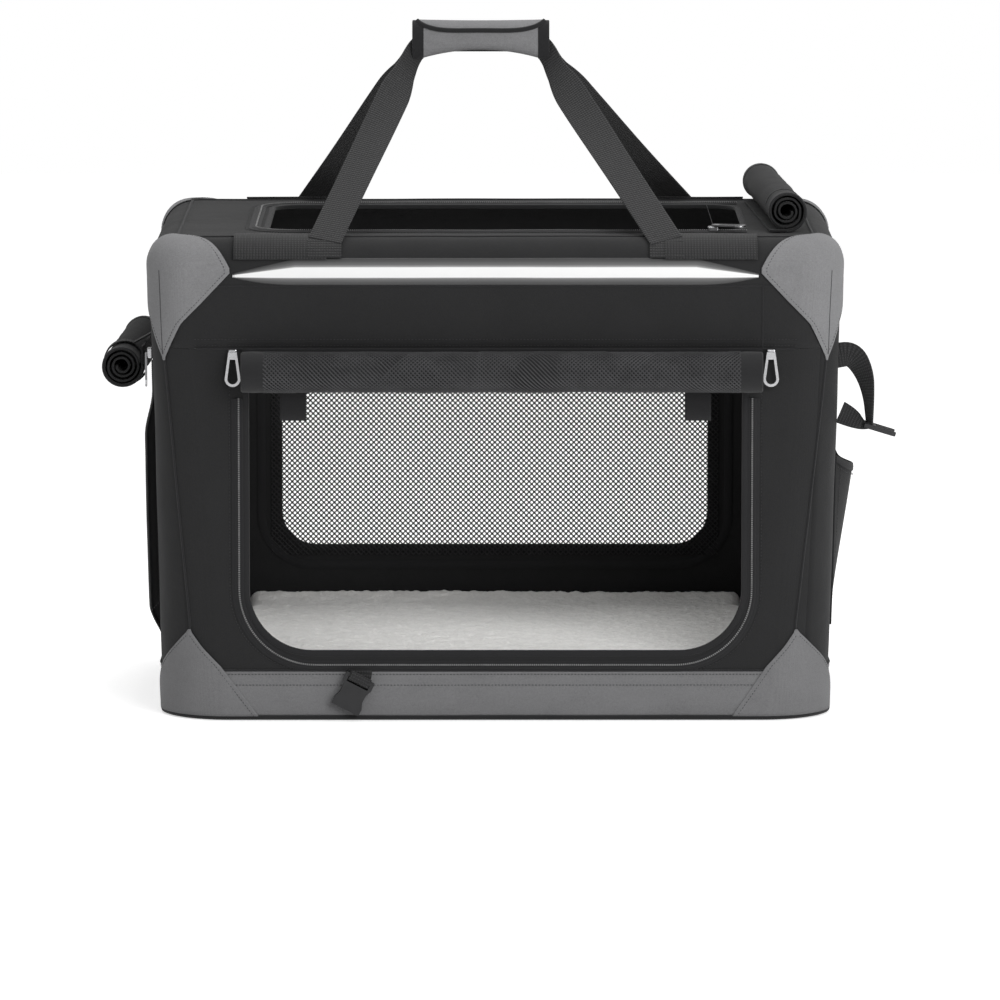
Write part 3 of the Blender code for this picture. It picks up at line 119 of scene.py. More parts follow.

# Front doorway, header, zip, and the edge strip that carries a painted highlight
HEADER_SEAM = 0.356
DOOR_HALF_WIDTH = 0.2375
DOOR_SILL = 0.064
DOOR_RADIUS = 0.062
ZIP_MARGIN = 0.0115
SIDE_ZIP_MARGIN = 0.0075
# The edge strip is a painted highlight: its core holds the white, and the parts above and below hold its
# painted falloff
STRIP_LOW = 0.4162
STRIP_HIGH = 0.4425
STRIP_CORE = 0.4243
STRIP_TIP_HIGH = 0.4278
STRIP_SLOPE = 0.059
STRIP_HALF_LENGTH = 0.2490
STRIP_LOW_SHARE = 0.31
STRIP_CROWN = 0.0013
STRIP = 0.0006
HEADER_PIPING = ((HEADER_SEAM, 0.0010), (0.4158, 0.0009))
HEADER_SEAM_X = 0.2530
HEADER_SEAM_TOP = 0.4150
HEADER_STITCH_ROWS = (0.3592, 0.3650)
HEADER_STITCH_REACH = 0.300
DOOR_ZIP_TOP = HEADER_SEAM - 0.0475
DOOR_STITCH_MARGIN = 0.0150

# Seams, bindings and zips
SEAM_RADIUS = 0.0012
BINDING_HALF = 0.0032
BINDING_THICK = 0.0021
BINDING_SQUARE = 0.7
ZIP_TAPE_HALF = 0.0056
ZIP_TAPE = 0.0006
ZIP_COIL_HALF = 0.0026
ZIP_COIL = 0.0011
TOOTH_SHIFT = 0.0014
TOOTH_RISE = 0.0022
TOOTH_HEIGHT = 0.0010
TOOTH_SHARE = 0.50
STITCH_MARGIN = 0.0205
STITCH_ROUNDING = 0.020

# Back window
WINDOW_HALF_WIDTH = 0.217
WINDOW_LOW = 0.107
WINDOW_HIGH = 0.330
WINDOW_RADIUS = 0.037
WINDOW_HEM = 0.018
WINDOW_HEM_ROUNDING = 0.014
WINDOW_LAP = 0.008
WINDOW_STITCH_MARGINS = (0.0055, 0.0150)
BACK_STITCH_HEIGHT = 0.0530
BACK_STITCH_REACH = 0.29

# Left end doorway
END_DOOR_HALF_WIDTH = 0.150
END_DOOR_LOW = 0.078
END_DOOR_HIGH = 0.350
END_DOOR_RADIUS = 0.055
END_ZIP_TOP = END_DOOR_HIGH - 0.012
END_ZIP_RISE = 0.0085
END_STITCH_TOP = 0.372
FLANGE = 0.0010
FLANGE_PROFILE = (
    (0.0, -0.0060), (0.0012, 0.0002), (0.5 * ZIP_MARGIN, 0.0003), (ZIP_MARGIN, 0.0003), (ZIP_MARGIN, -0.0085)
)

# Rolled doors
ROLL_CORE = 0.0045
ROLL_PITCH = 0.0041
ROLL_STEPS = 28
WALL_ROLL_TURNS = 3.5
TOP_ROLL_TURNS = 3.25
WALL_ROLL_RADIUS = ROLL_CORE + ROLL_PITCH * WALL_ROLL_TURNS
ROLL_REACH = 0.02125
FRONT_ROLL_LEFT = -0.2400
FRONT_ROLL_RIGHT = 0.2520
TOP_ROLL_FRONT = Vector((0.278, -0.162, 0.4805))
TOP_ROLL_BACK = Vector((0.264, 0.180, 0.4805))
END_ROLL_Z = 0.331
END_ROLL_HALF_LENGTH = 0.150
END_ROLL_GAP = 0.0007
END_ROLL_SWING = 0.009
ROLL_SHEET = 0.0019
ROLL_STRAP_Y = -0.100
ROLL_STRAP_HALF = 0.009
ROLL_STRAP_LIFT = 0.0030
FRONT_HEM_WIDTH = 0.0225
END_HEM_WIDTH = 0.016
TOP_HEM_WIDTH = 0.014
TOP_ROLL_TAIL = 0.016
TOP_ROLL_STITCHES = (0.0028, 0.0112)
ELASTIC_SHIFT = 0.046
ELASTIC_HALF = 0.0030
HEM = 0.0010
HEM_LIFT = 0.0016
HEM_PROFILE = ((0.0, -0.0010), (0.04, 0.0), (0.5, 0.0003), (0.96, 0.0), (1.0, -0.0010))
DOOR_NET_MARGIN = 0.0205
DOOR_NET_THICK = 0.00058
DOOR_NET_LIFT = 0.0021
DOOR_NET_STEP = 0.0034

# Door tabs
TAB_X = 0.1920
TAB_WIDTH = 0.0250
TAB_LOW = 0.2872
TAB_HIGH = 0.3806
TAB = 0.0018

# Top opening
TOP_OPENING_LEFT = -0.220
TOP_OPENING_RIGHT = 0.240
TOP_OPENING_FRONT = -0.1385
TOP_OPENING_BACK = 0.1475
TOP_OPENING_RADIUS = 0.035

# Corner patches: share of the tip-to-base height, and of the half width reached there
TOP_PATCH_TIP = 0.344
TOP_PATCH_WIDEST = 0.428
TOP_PATCH_HALF_WIDTH = 0.070
TOP_PATCH_NECK = 0.012
BOTTOM_PATCH_TIP = 0.087
BOTTOM_PATCH_HALF_WIDTH = 0.080
BOTTOM_TIP_LEANS = (-0.022, 0.019, -0.019, 0.016)
PATCH_OUT = 0.0028
PATCH = 0.0012
PATCH_COLUMNS = 26
PATCH_ROWS = 24
PATCH_TIP_HALF = 0.0012
PATCH_STITCH_MARGIN = 0.0042
TOP_CREASE_LOW = TOP_PATCH_TIP + 0.006
TOP_CREASE_HIGH = 0.4300
CORNERS = ("front_right", "back_right", "back_left", "front_left")
TOP_PATCH_SHARES = ((0.0, 0.0), (0.19, 0.14), (0.43, 0.31), (0.67, 0.61), (0.84, 0.81), (1.0, 1.0))
BOTTOM_PATCH_SHARES = ((0.0, 0.0), (0.2, 0.2), (0.42, 0.46), (0.7, 0.72), (1.0, 1.0))

# Webbing, handle and grip
WEBBING = 0.0014
WEBBING_WIDTH = 0.032
WEBBING_INNER_X = 0.160
WEBBING_OUTER_X = 0.248
WEBBING_TURN_SHARE = 0.18
HANDLE_FOOT_FRONT_X = 0.162
HANDLE_FOOT_BACK_X = 0.182
GRIP_LEFT = -0.080
GRIP_RIGHT = 0.052
GRIP_LOW = 0.613
GRIP_HIGH = 0.652
GRIP_HALF_DEPTH = 0.0088
GRIP_STRAP_Y = 0.003
GRIP_LEAD = 0.011
GRIP_EXIT = 0.001
LEG_TOP_X = 0.009
LEG_TOP_Y = 0.019
LEG_TOP_DROP = 0.032
FOOT_TURNS = (0.22, 0.42, 0.62)
GATHER_SHARE = 0.62
FOOT_OUT = 0.0009 + WEBBING * 1.5
FOOT_STITCHES = (0.0075, 0.0155)
FOOT_STITCH_HALF = 0.0145
GRIP_PINCH = 0.0110
GRIP_SQUARE = 0.72
GRIP_BINDING = 0.0105
GRIP_WALL = 0.0024
GRIP_BINDING_PROFILE = ((0.0, -0.0004), (0.04, 0.0009), (0.5, 0.0011), (0.96, 0.0009), (1.0, 0.0))
SMOOTH_CUTS = 3

# Closing strap, buckle loop and pocket
CLOSURE_Y = -0.188
CLOSURE_Z = 0.345
CLOSURE_OUT = 0.0285
CLOSURE_DROP = 0.064
CLOSURE_WIDTH = 0.024
CLOSURE_SHARES = ((0.45, -0.04), (0.85, 0.25), (1.0, 0.6), (1.03, 1.0))
CLOSURE_ACROSS = ((0.55, -0.25, 0.8), (0.65, -0.7, 0.3), (0.36, -0.93, 0.1), (0.2, -1.0, 0.0))
FEMALE_TOP = Vector((-0.1280, -0.2365, 0.0425))
FEMALE_TILT = math.radians(27)
POCKET_LOW = 0.082
POCKET_HIGH = 0.242
POCKET_HALF_WIDTH = 0.150
POCKET_BULGE = 0.016
POCKET_SAG = 0.014
POCKET_CLOTH = 0.0014
LOOP_WIDTH = 0.0208
LOOP_HIGH = 0.0485
LOOP_BEND = 0.0445

Level = namedtuple("Level", "z half_x half_y radius")


def number(name, words, default, low, high):
    return bpy.props.FloatProperty(
        name=name, description=words, default=default, min=low, max=high, unit="LENGTH", precision=5
    )


def colour(name, words, default):
    return bpy.props.FloatVectorProperty(
        name=name, description=words, default=default, min=0.0, max=1.0, size=3, subtype="COLOR"
    )


class CrateSizes(bpy.types.PropertyGroup):
    relief: number("Relief", "How far the cloth of the cabin waves in and out", 0.0007, 0.0, 0.003)
    stitch_pitch: number("Stitch pitch", "Distance from stitch to stitch", 0.0032, 0.001, 0.01)
    stitch_length: number("Stitch length", "Length of one stitch", 0.0021, 0.0005, 0.01)
    thread: number("Thread", "Radius of the sewing thread", 0.00032, 0.0001, 0.001)
    tooth_pitch: number("Zip pitch", "Distance from tooth to tooth of a zip", 0.0020, 0.0008, 0.005)
    tooth_width: number("Zip tooth", "Width of a zip tooth across the zip", 0.0015, 0.001, 0.01)
    net_pitch: number("Net pitch", "Width of one diamond of the back net", 0.0053, 0.002, 0.02)
    net_strand: number("Net strand", "Thickness of a strand of the back net", 0.00150, 0.0003, 0.003)
    door_net_pitch: number("Door net pitch", "Width of one hole of the rolled door", 0.0037, 0.002, 0.02)
    pile: number("Pile", "Height of the curls of the fleece pad", 0.0030, 0.0, 0.006)
    pad_grid: number("Pad grid", "Size of the facets of the fleece pad", 0.0021, 0.0012, 0.01)


class CrateColours(bpy.types.PropertyGroup):
    black: colour("Black cloth", "Cloth of the cabin walls", (0.0160, 0.0160, 0.0166))
    grey: colour("Grey cloth", "Cloth of the base band and the bottom patches", (0.168, 0.168, 0.172))
    # Painted light: the top patches and the grip are the same grey cloth as the band, set lighter to stand
    # in for the stronger light on the top
    patch: colour("Patch cloth", "Cloth of the top corner patches and the grip", (0.205, 0.205, 0.210))
    webbing: colour("Webbing", "Handle, edge and closing straps", (0.0115, 0.0115, 0.0121))
    binding: colour("Binding", "Tapes round the openings and the piping", (0.014, 0.014, 0.015))
    thread: colour("Thread", "Stitches on the grey cloth", (0.020, 0.020, 0.021))
    fleece: colour("Fleece", "Fleece pad on the floor", (0.86, 0.85, 0.825))
    # Painted highlight: this pale colour stands in for light on the rounded front top edge
    trim: colour("Light strip", "Pale strip along the front edge", (0.83, 0.83, 0.83))
    net: colour("Net", "Strands of the back window net", (0.016, 0.016, 0.017))
    door_net: colour("Door net", "Strands of the rolled mesh door", (0.036, 0.036, 0.038))
    steel: colour("Steel", "Frame tubes and hinge brackets", (0.42, 0.42, 0.43))
    chrome: colour("Chrome", "Zip sliders, pulls and rivets", (0.45, 0.45, 0.46))
    plastic: colour("Plastic", "Buckles", (0.011, 0.011, 0.012))
    # Painted highlight: the pale teeth stand in for glints of light along the dark zip coil
    teeth: colour("Zip teeth", "Glinting teeth of the zips", (0.19, 0.19, 0.19))


class CrateSettings(bpy.types.PropertyGroup):
    sizes: bpy.props.PointerProperty(type=CrateSizes, name="Sizes", description="Sizes of the details")
    colours: bpy.props.PointerProperty(
        type=CrateColours, name="Colours", description="Colours of the finishes"
    )


def settings():
    return bpy.context.scene.dog_crate


# Finishes


class Wiring:
    """Short hand for wiring the nodes of one material."""

    def __init__(self, name):
        self.material = bpy.data.materials.new(name)
        self.material.use_nodes = True
        self.nodes = self.material.node_tree.nodes
        self.links = self.material.node_tree.links
        self.shader = self.nodes["Principled BSDF"]

    def add(self, kind, **values):
        made = self.nodes.new(kind)
        for key, value in values.items():
            setattr(made, key, value)
        return made

    def wire(self, start, end):
        self.links.new(start, end)

    def maths(self, operation, first, second=None, third=None):
        made = self.add("ShaderNodeMath", operation=operation)
        for slot, value in zip(made.inputs, (first, second, third)):
            if value is None:
                continue
            if isinstance(value, (int, float)):
                slot.default_value = value
            else:
                self.wire(value, slot)
        return made.outputs[0]

    def place(self, uv=False):
        return self.add("ShaderNodeTexCoord").outputs["UV" if uv else "Object"]

    def noise(self, scale, detail=2.0, roughness=0.5):
        made = self.add("ShaderNodeTexNoise")
        made.inputs["Scale"].default_value = scale
        made.inputs["Detail"].default_value = detail
        made.inputs["Roughness"].default_value = roughness
        self.wire(self.place(), made.inputs["Vector"])
        return made.outputs["Fac"]

    def ribs(self, axis, pitch, vector):
        made = self.add("ShaderNodeTexWave", bands_direction=axis, wave_profile="SIN")
        made.inputs["Scale"].default_value = WAVE_SCALE / pitch
        self.wire(vector, made.inputs["Vector"])
        return made.outputs["Fac"]

    def tint(self, driver, base, low, high, spread=(0.25, 0.75)):
        ramp = self.add("ShaderNodeValToRGB")
        for stop, share, at in zip(ramp.color_ramp.elements, (low, high), spread):
            stop.position = at
            stop.color = tuple(min(part * share, 1.0) for part in base) + (1.0,)
        self.wire(driver, ramp.inputs["Fac"])
        self.wire(ramp.outputs["Color"], self.shader.inputs["Base Color"])

    def bumps(self, *layers):
        """Height layers, each with its distance, stacked into the normal."""
        below = None
        for height, distance in layers:
            bump = self.add("ShaderNodeBump")
            bump.inputs["Distance"].default_value = distance
            self.wire(height, bump.inputs["Height"])
            if below:
                self.wire(below, bump.inputs["Normal"])
            below = bump.outputs["Normal"]
        self.wire(below, self.shader.inputs["Normal"])

    def roughness(self, driver, low, high):
        span = self.add("ShaderNodeMapRange")
        span.inputs["To Min"].default_value = low
        span.inputs["To Max"].default_value = high
        self.wire(driver, span.inputs["Value"])
        self.wire(span.outputs["Result"], self.shader.inputs["Roughness"])

    def soft(self, sheen, specular=0.25):
        self.shader.inputs["Sheen Weight"].default_value = sheen
        self.shader.inputs["Sheen Roughness"].default_value = 0.6
        self.shader.inputs["Specular IOR Level"].default_value = specular
        return self.material


def woven(name, base, pitch, relief, sheen=0.06, spread=(0.80, 1.24), crumple=0.0011):
    """Plain woven cloth: a fine pebble of threads, a fuzz and soft creases."""
    kit = Wiring(name)
    vector = kit.place()
    grain = kit.add("ShaderNodeTexVoronoi")
    grain.inputs["Scale"].default_value = 1.0 / pitch
    grain.inputs["Randomness"].default_value = 0.55
    kit.wire(vector, grain.inputs["Vector"])
    weave = kit.maths("SUBTRACT", 1.0, grain.outputs["Distance"])
    fuzz = kit.noise(1500.0, 2.0)
    mottle = kit.noise(420.0, 3.0, 0.6)
    shade = kit.maths("MULTIPLY_ADD", mottle, 0.35, kit.maths("MULTIPLY", kit.noise(26.0, 3.0), 0.25))
    kit.tint(kit.maths("MULTIPLY_ADD", weave, 0.40, shade), base, *spread, spread=(0.3, 0.8))
    creases = kit.noise(11.0, 3.0, 0.45)
    kit.bumps((creases, crumple * 4), (weave, relief), (fuzz, relief * 0.8))
    kit.roughness(mottle, 0.78, 0.92)
    return kit.soft(sheen, 0.20)


def ribbed(name, base, pitch, relief):
    """Webbing: close ribs across the strap with the warp showing between them."""
    kit = Wiring(name)
    vector = kit.place(uv=True)
    across = kit.ribs("X", pitch, vector)
    along = kit.ribs("Y", pitch * 0.9, vector)
    chevron = kit.maths("MULTIPLY", across, along)
    rows = kit.maths("MULTIPLY_ADD", chevron, 0.75, kit.maths("MULTIPLY", across, 0.35))
    kit.tint(kit.maths("MULTIPLY_ADD", rows, 0.8, kit.maths("MULTIPLY", kit.noise(700.0), 0.2)),
             base, 0.30, 2.60, spread=(0.05, 0.95))
    kit.bumps((rows, relief), (kit.noise(1800.0), relief * 0.3))
    kit.roughness(rows, 0.70, 0.85)
    return kit.soft(0.10, 0.35)


def curled(name, base):
    """Fleece: small curls with shaded hollows between them."""
    kit = Wiring(name)
    curls = kit.noise(260.0, 4.0, 0.62)
    tufts = kit.noise(70.0, 3.0, 0.55)
    both = kit.maths("MULTIPLY_ADD", curls, 0.55, kit.maths("MULTIPLY", tufts, 0.45))
    kit.tint(both, base, 0.90, 1.05, spread=(0.36, 0.62))
    kit.bumps((tufts, 0.0020), (curls, 0.0010), (kit.noise(1400.0), 0.0003))
    kit.roughness(both, 0.92, 1.0)
    return kit.soft(0.35, 0.1)


def polished(name, base, rough, wear=0.08):
    kit = Wiring(name)
    scuffs = kit.noise(160.0, 5.0, 0.65)
    kit.tint(scuffs, base, 0.90, 1.06)
    kit.bumps((kit.noise(900.0, 3.0), 0.00004))
    kit.roughness(scuffs, max(rough - wear, 0.02), rough + wear)
    kit.shader.inputs["Metallic"].default_value = 1.0
    return kit.material


def moulded(name, base, rough=0.42):
    kit = Wiring(name)
    grain = kit.noise(900.0, 4.0, 0.6)
    kit.tint(kit.noise(90.0, 4.0), base, 0.85, 1.35)
    kit.bumps((grain, 0.00007))
    kit.roughness(grain, rough - 0.10, rough + 0.12)
    kit.shader.inputs["Specular IOR Level"].default_value = 0.38
    return kit.material


def painted_highlight_strip(name, base, shade):
    """Painted highlight on the rounded front edge: a white core whose long edges fade, as painted falloff,
    into the black cloth it lies on.
    """
    kit = Wiring(name)
    vector = kit.place(uv=True)
    parts = kit.add("ShaderNodeSeparateXYZ")
    kit.wire(vector, parts.inputs[0])
    ramp = kit.add("ShaderNodeValToRGB")
    ramp.color_ramp.interpolation = "EASE"
    # Painted highlight: white across the core, falling off through grey to the black cloth at both long
    # edges
    stops = ((0.0, 0.02), (0.10, 0.05), (0.20, 0.11), (0.27, 0.22), (0.31, 1.0),
             (0.65, 1.0), (0.70, 0.26), (0.78, 0.10), (0.90, 0.04), (1.0, 0.01))
    elements = ramp.color_ramp.elements
    for at, share in stops:
        stop = elements[0] if at == 0.0 else elements[-1] if at == 1.0 else elements.new(at)
        stop.color = tuple(dark + (light - dark) * share for light, dark in zip(base, shade)) + (1.0,)
    wander = kit.maths("MULTIPLY_ADD", kit.noise(9.0), 0.04, parts.outputs["Y"])
    kit.wire(kit.maths("SUBTRACT", wander, 0.02), ramp.inputs["Fac"])
    kit.wire(ramp.outputs["Color"], kit.shader.inputs["Base Color"])
    kit.bumps((kit.noise(1300.0), 0.00008))
    kit.roughness(kit.noise(300.0), 0.45, 0.62)
    return kit.soft(0.05, 0.4)


def finish_named(name):
    """The finish of that name, built the first time it is asked for."""
    found = bpy.data.materials.get(name)
    if found:
        return found
    shades = settings().colours
    plain = {key: tuple(getattr(shades, key)) for key in shades.__annotations__}
    built = {
        "black_cloth": lambda: woven(name, plain["black"], 0.00095, 0.00018),
        "inner_cloth": lambda: woven(name, plain["binding"], 0.00095, 0.00016, 0.05),
        "grey_cloth": lambda: woven(name, plain["grey"], 0.00090, 0.00016, 0.12, (0.78, 1.20)),
        # Painted light: a lighter copy of the grey cloth, for the top patches and the grip that stand in
        # stronger light
        "patch_cloth": lambda: woven(name, plain["patch"], 0.00090, 0.00016, 0.12, (0.78, 1.20)),
        "binding_tape": lambda: woven(name, plain["binding"], 0.00070, 0.00014, 0.10, crumple=0.0003),
        "webbing_strap": lambda: ribbed(name, plain["webbing"], 0.0028, 0.00060),
        "fleece_pile": lambda: curled(name, plain["fleece"]),
        "back_net": lambda: moulded(name, plain["net"], 0.62),
        "door_net": lambda: moulded(name, plain["door_net"], 0.50),
        # Painted highlight of the rounded front edge, laid over the black cloth
        "light_strip": lambda: painted_highlight_strip(name, plain["trim"], plain["black"]),
        "sewing_thread": lambda: moulded(name, plain["thread"], 0.60),
        "pale_thread": lambda: moulded(name, tuple(2.6 * part for part in plain["black"]), 0.60),
        # Painted highlight: pale teeth in a fine line, for the glints on the dark coil
        "zip_teeth": lambda: moulded(name, plain["teeth"], 0.38),
        "tube_steel": lambda: polished(name, plain["steel"], 0.34),
        "bright_chrome": lambda: polished(name, plain["chrome"], 0.24, 0.06),
        "buckle_plastic": lambda: moulded(name, plain["plastic"]),
        "floor_card": lambda: woven(name, plain["black"], 0.0012, 0.0001, 0.0),
    }
    return built[name]()


# Shapes


def level(height, turn=0.0, out=0.0):
    """One section of the skin. turn runs from 0, on the wall, to 1, on the flat top."""
    angle = turn * math.pi / 2
    swing = EDGE_RADIUS + out
    if turn > 0:
        height = HEIGHT - EDGE_RADIUS + swing * math.sin(angle)
    inset = EDGE_RADIUS - swing * math.cos(angle)
    share = min(height, HEIGHT) / HEIGHT
    half_length = (BASE_LENGTH + (TOP_LENGTH - BASE_LENGTH) * share) / 2
    radius = BASE_CORNER_RADIUS + (TOP_CORNER_RADIUS - BASE_CORNER_RADIUS) * share
    return Level(height, half_length - inset, DEPTH / 2 - inset, radius - inset)


def around(section, place):
    """Point on a section. 0 to 1 is the front, 1 to 2 the front right corner, and so on."""
    flat_x = section.half_x - section.radius
    flat_y = section.half_y - section.radius
    side = math.floor(place) % 8
    share = place - math.floor(place)
    quarter = side // 2
    corners = ((flat_x, -flat_y), (flat_x, flat_y), (-flat_x, flat_y), (-flat_x, -flat_y))
    if side % 2:
        centre = corners[quarter]
        angle = math.radians(-90 + 90 * (quarter + share))
        return Vector((
            centre[0] + section.radius * math.cos(angle),
            centre[1] + section.radius * math.sin(angle),
            section.z,
        ))
    start = Vector((*corners[quarter - 1], section.z))
    end = Vector((*corners[quarter], section.z))
    facing = math.radians(-90 + 90 * quarter)
    return start.lerp(end, share) + section.radius * Vector((math.cos(facing), math.sin(facing), 0.0))


def relief(point):
    """How far the cloth stands out or in at a point: a slow, even wave."""
    depth = settings().sizes.relief
    slow = noise.noise(point * 9.0 + Vector((3.1, 7.7, 1.9)))
    quick = noise.noise(point * 23.0)
    return depth * (slow * 1.2 + quick * 0.5)


def skin(height, turn, place, out=0.0):
    """Point on the cloth of the cabin, with its relief."""
    point = around(level(height, turn, out), place)
    beyond = around(level(height, turn, out + PROBE), place)
    return point + (beyond - point).normalized() * relief(point)


def front_place(section, x):
    flat_x = section.half_x - section.radius
    return (x + flat_x) / (2 * flat_x)


def back_place(section, x):
    return 5 - front_place(section, x)


def front_point(x, height, out=0.0):
    return skin(height, 0.0, front_place(level(height), x), out)


def back_point(x, height, out=0.0):
    return skin(height, 0.0, back_place(level(height), x), out)


def end_point(side, y, height, out=0.0):
    section = level(height)
    flat_y = section.half_y - section.radius
    share = (side * y + flat_y) / (2 * flat_y)
    return skin(height, 0.0, (2 if side > 0 else 6) + share, out)


def top_point(x, y, out=0.0):
    """Point on the top cloth, which sags a little towards its opening."""
    flat = Vector((x, y, HEIGHT + out))
    reach = max(0.0, 1.0 - (x / 0.30) ** 4) * max(0.0, 1.0 - (y / 0.20) ** 4)
    return flat + UP * (relief(flat) * 0.6 - 0.0009 * reach)


def corner_place(section, quarter, distance):
    """Place at a distance along the skin from the middle of a corner, anticlockwise."""
    middle = 2 * quarter + 1.5
    half_arc = section.radius * math.pi / 4
    way = math.copysign(1.0, distance)
    reach = abs(distance)
    if reach <= half_arc:
        return middle + distance / half_arc / 2
    along_y = (quarter % 2 == 0) == (way > 0)
    flat = (section.half_y if along_y else section.half_x) - section.radius
    return middle + way * (0.5 + (reach - half_arc) / (2 * flat))


def places_between(start, end, flat_steps, corner_steps=12):
    """Places from start to end, with even steps over each flat and each corner."""
    found = [start]
    stops = [stop for stop in range(math.ceil(start), math.floor(end) + 1) if start < stop < end]
    for low, high in zip([start] + stops, stops + [end]):
        corner = math.floor((low + high) / 2) % 2
        steps = max(2, round((high - low) * (corner_steps if corner else flat_steps)))
        found += [low + (high - low) * step / steps for step in range(1, steps + 1)]
    return found


def wall_stations(low, high, rows, over_edge=True):
    """Heights and turns up a wall and, if asked, over the rounded edge to the top."""
    found = [(low + (high - low) * row / rows, 0.0) for row in range(rows + 1)]
    if over_edge:
        found += [(HEIGHT, step / EDGE_STEPS) for step in range(1, EDGE_STEPS + 1)]
    return found


def arc(centre, radius, start, end, steps):
    return [
        (
            centre[0] + radius * math.cos(math.radians(start + (end - start) * step / steps)),
            centre[1] + radius * math.sin(math.radians(start + (end - start) * step / steps)),
        )
        for step in range(steps + 1)
    ]


def rounded_outline(low, high, radius, steps=12):
    return (
        arc((low[0] + radius, low[1] + radius), radius, 180, 270, steps)
        + arc((high[0] - radius, low[1] + radius), radius, 270, 360, steps)
        + arc((high[0] - radius, high[1] - radius), radius, 0, 90, steps)
        + arc((low[0] + radius, high[1] - radius), radius, 90, 180, steps)
    )


def window_ring(margin, rounding, steps):
    """Rounded outline a margin outside the back window."""
    low = (-WINDOW_HALF_WIDTH - margin, WINDOW_LOW - margin)
    high = (WINDOW_HALF_WIDTH + margin, WINDOW_HIGH + margin)
    return rounded_outline(low, high, WINDOW_RADIUS + rounding, steps)


def steps_between(start, end, count):
    """Even values from start to end, both included."""
    return [start + (end - start) * step / count for step in range(count + 1)]


def door_outline(half_width, low, high, radius, steps=12):
    """U of a doorway: down one side, along the bottom and up the other side."""
    return (
        [(-half_width, high)]
        + arc((-half_width + radius, low + radius), radius, 180, 270, steps)
        + arc((half_width - radius, low + radius), radius, 270, 360, steps)
        + [(half_width, high)]
    )


def evenly(path, step, closed=False):
    """Path of plane or solid points, cut into even lengths of about the step."""
    points = [Vector(point) for point in path]
    if closed:
        points.append(points[0])
    found = [points[0]]
    for near, far in zip(points, points[1:]):
        count = max(1, math.ceil((far - near).length / step))
        found += [near.lerp(far, part / count) for part in range(1, count + 1)]
    return found[:-1] if closed else found


def spaced(path, count):
    """So many points at equal distances along a path."""
    points = [Vector(point) for point in path]
    lengths = [0.0]
    for near, far in zip(points, points[1:]):
        lengths.append(lengths[-1] + (far - near).length)
    found, at = [], 0
    for index in range(count):
        reach = lengths[-1] * index / (count - 1)
        while at < len(points) - 2 and lengths[at + 1] < reach:
            at += 1
        share = (reach - lengths[at]) / max(lengths[at + 1] - lengths[at], 1e-9)
        found.append(points[at].lerp(points[at + 1], share))
    return found


def placed(name, data):
    made = bpy.data.objects.new(name, data)
    bpy.context.scene.collection.objects.link(made)
    return made


def smoothed(mesh):
    """Smooth shading that keeps folds and cut edges sharp."""
    mesh.shade_smooth()
    mesh.set_sharp_from_angle(angle=SHARP_ANGLE)


def one_finish(mesh, finish):
    mesh.materials.clear()
    mesh.materials.append(finish_named(finish))
    mesh.polygons.foreach_set("material_index", [0] * len(mesh.polygons))


def new_piece(name, mesh, finish):
    one_finish(mesh, finish)
    smoothed(mesh)
    return placed(name, mesh)


def piece_from(name, points, faces, finish, uvs=None):
    mesh = bpy.data.meshes.new(name)
    mesh.from_pydata([tuple(point) for point in points], [], faces)
    mesh.update()
    if uvs:
        layer = mesh.uv_layers.new(name="cloth")
        for loop in mesh.loops:
            layer.data[loop.index].uv = uvs[loop.vertex_index]
    return new_piece(name, mesh, finish)


def wall(piece, thickness):
    """Give a sheet its thickness, towards its back."""
    made = piece.modifiers.new("cloth", "SOLIDIFY")
    made.thickness = thickness
    made.offset = -1.0
    made.use_even_offset = False
    return piece


def loft(name, rows, finish, thickness=0.0, closed=False, flip=False):
    """Skin a list of rows of points, with a UV map in metres along and across the rows."""
    across = len(rows[0])
    points = [point for row in rows for point in row]
    middle = across // 2
    lengths, widths = [0.0], [0.0]
    for near, far in zip(rows, rows[1:]):
        lengths.append(lengths[-1] + (far[middle] - near[middle]).length)
    longest = max(rows, key=lambda row: (row[0] - row[-1]).length)
    for near, far in zip(longest, longest[1:]):
        widths.append(widths[-1] + (far - near).length)
    uvs = [(length, width) for length in lengths for width in widths]
    faces = []
    for row in range(len(rows) - 1):
        for column in range(across if closed else across - 1):
            near, far = row * across, (row + 1) * across
            following = (column + 1) % across
            face = (near + column, near + following, far + following, far + column)
            faces.append(face[::-1] if flip else face)
    piece = piece_from(name, points, faces, finish, uvs)
    return wall(piece, thickness) if thickness else piece


def swept(name, path, facing, half_width, half_thickness, finish, closed=False, sides=8, power=1.0):
    """Tape or cord along a path: an oval section, its width across the path."""
    points = [Vector(point) for point in path]
    count = len(points)
    rows = []
    for index, point in enumerate(points):
        before = points[index - 1] if index or closed else point
        after = points[(index + 1) % count] if index < count - 1 or closed else point
        along = (after - before).normalized()
        toward = facing(index) if callable(facing) else Vector(facing)
        out = toward - along * toward.dot(along)
        if out.length < 1e-6:
            out = along.orthogonal()
        out.normalize()
        across = along.cross(out)
        row = []
        for side in range(sides):
            angle = 2 * math.pi * side / sides
            wide, high = math.cos(angle), math.sin(angle)
            wide = math.copysign(abs(wide) ** power, wide)
            high = math.copysign(abs(high) ** power, high)
            row.append(point + across * (half_width * wide) + out * (half_thickness * high))
        rows.append(row)
    flat = [corner for row in rows for corner in row]
    faces = []
    for row in range(count if closed else count - 1):
        near, far = row * sides, ((row + 1) % count) * sides
        for side in range(sides):
            following = (side + 1) % sides
            faces.append((near + side, near + following, far + following, far + side))
    if not closed:
        faces.append(tuple(reversed(range(sides))))
        faces.append(tuple(range((count - 1) * sides, count * sides)))
    piece = piece_from(name, flat, faces, finish)
    return face_outwards(piece)


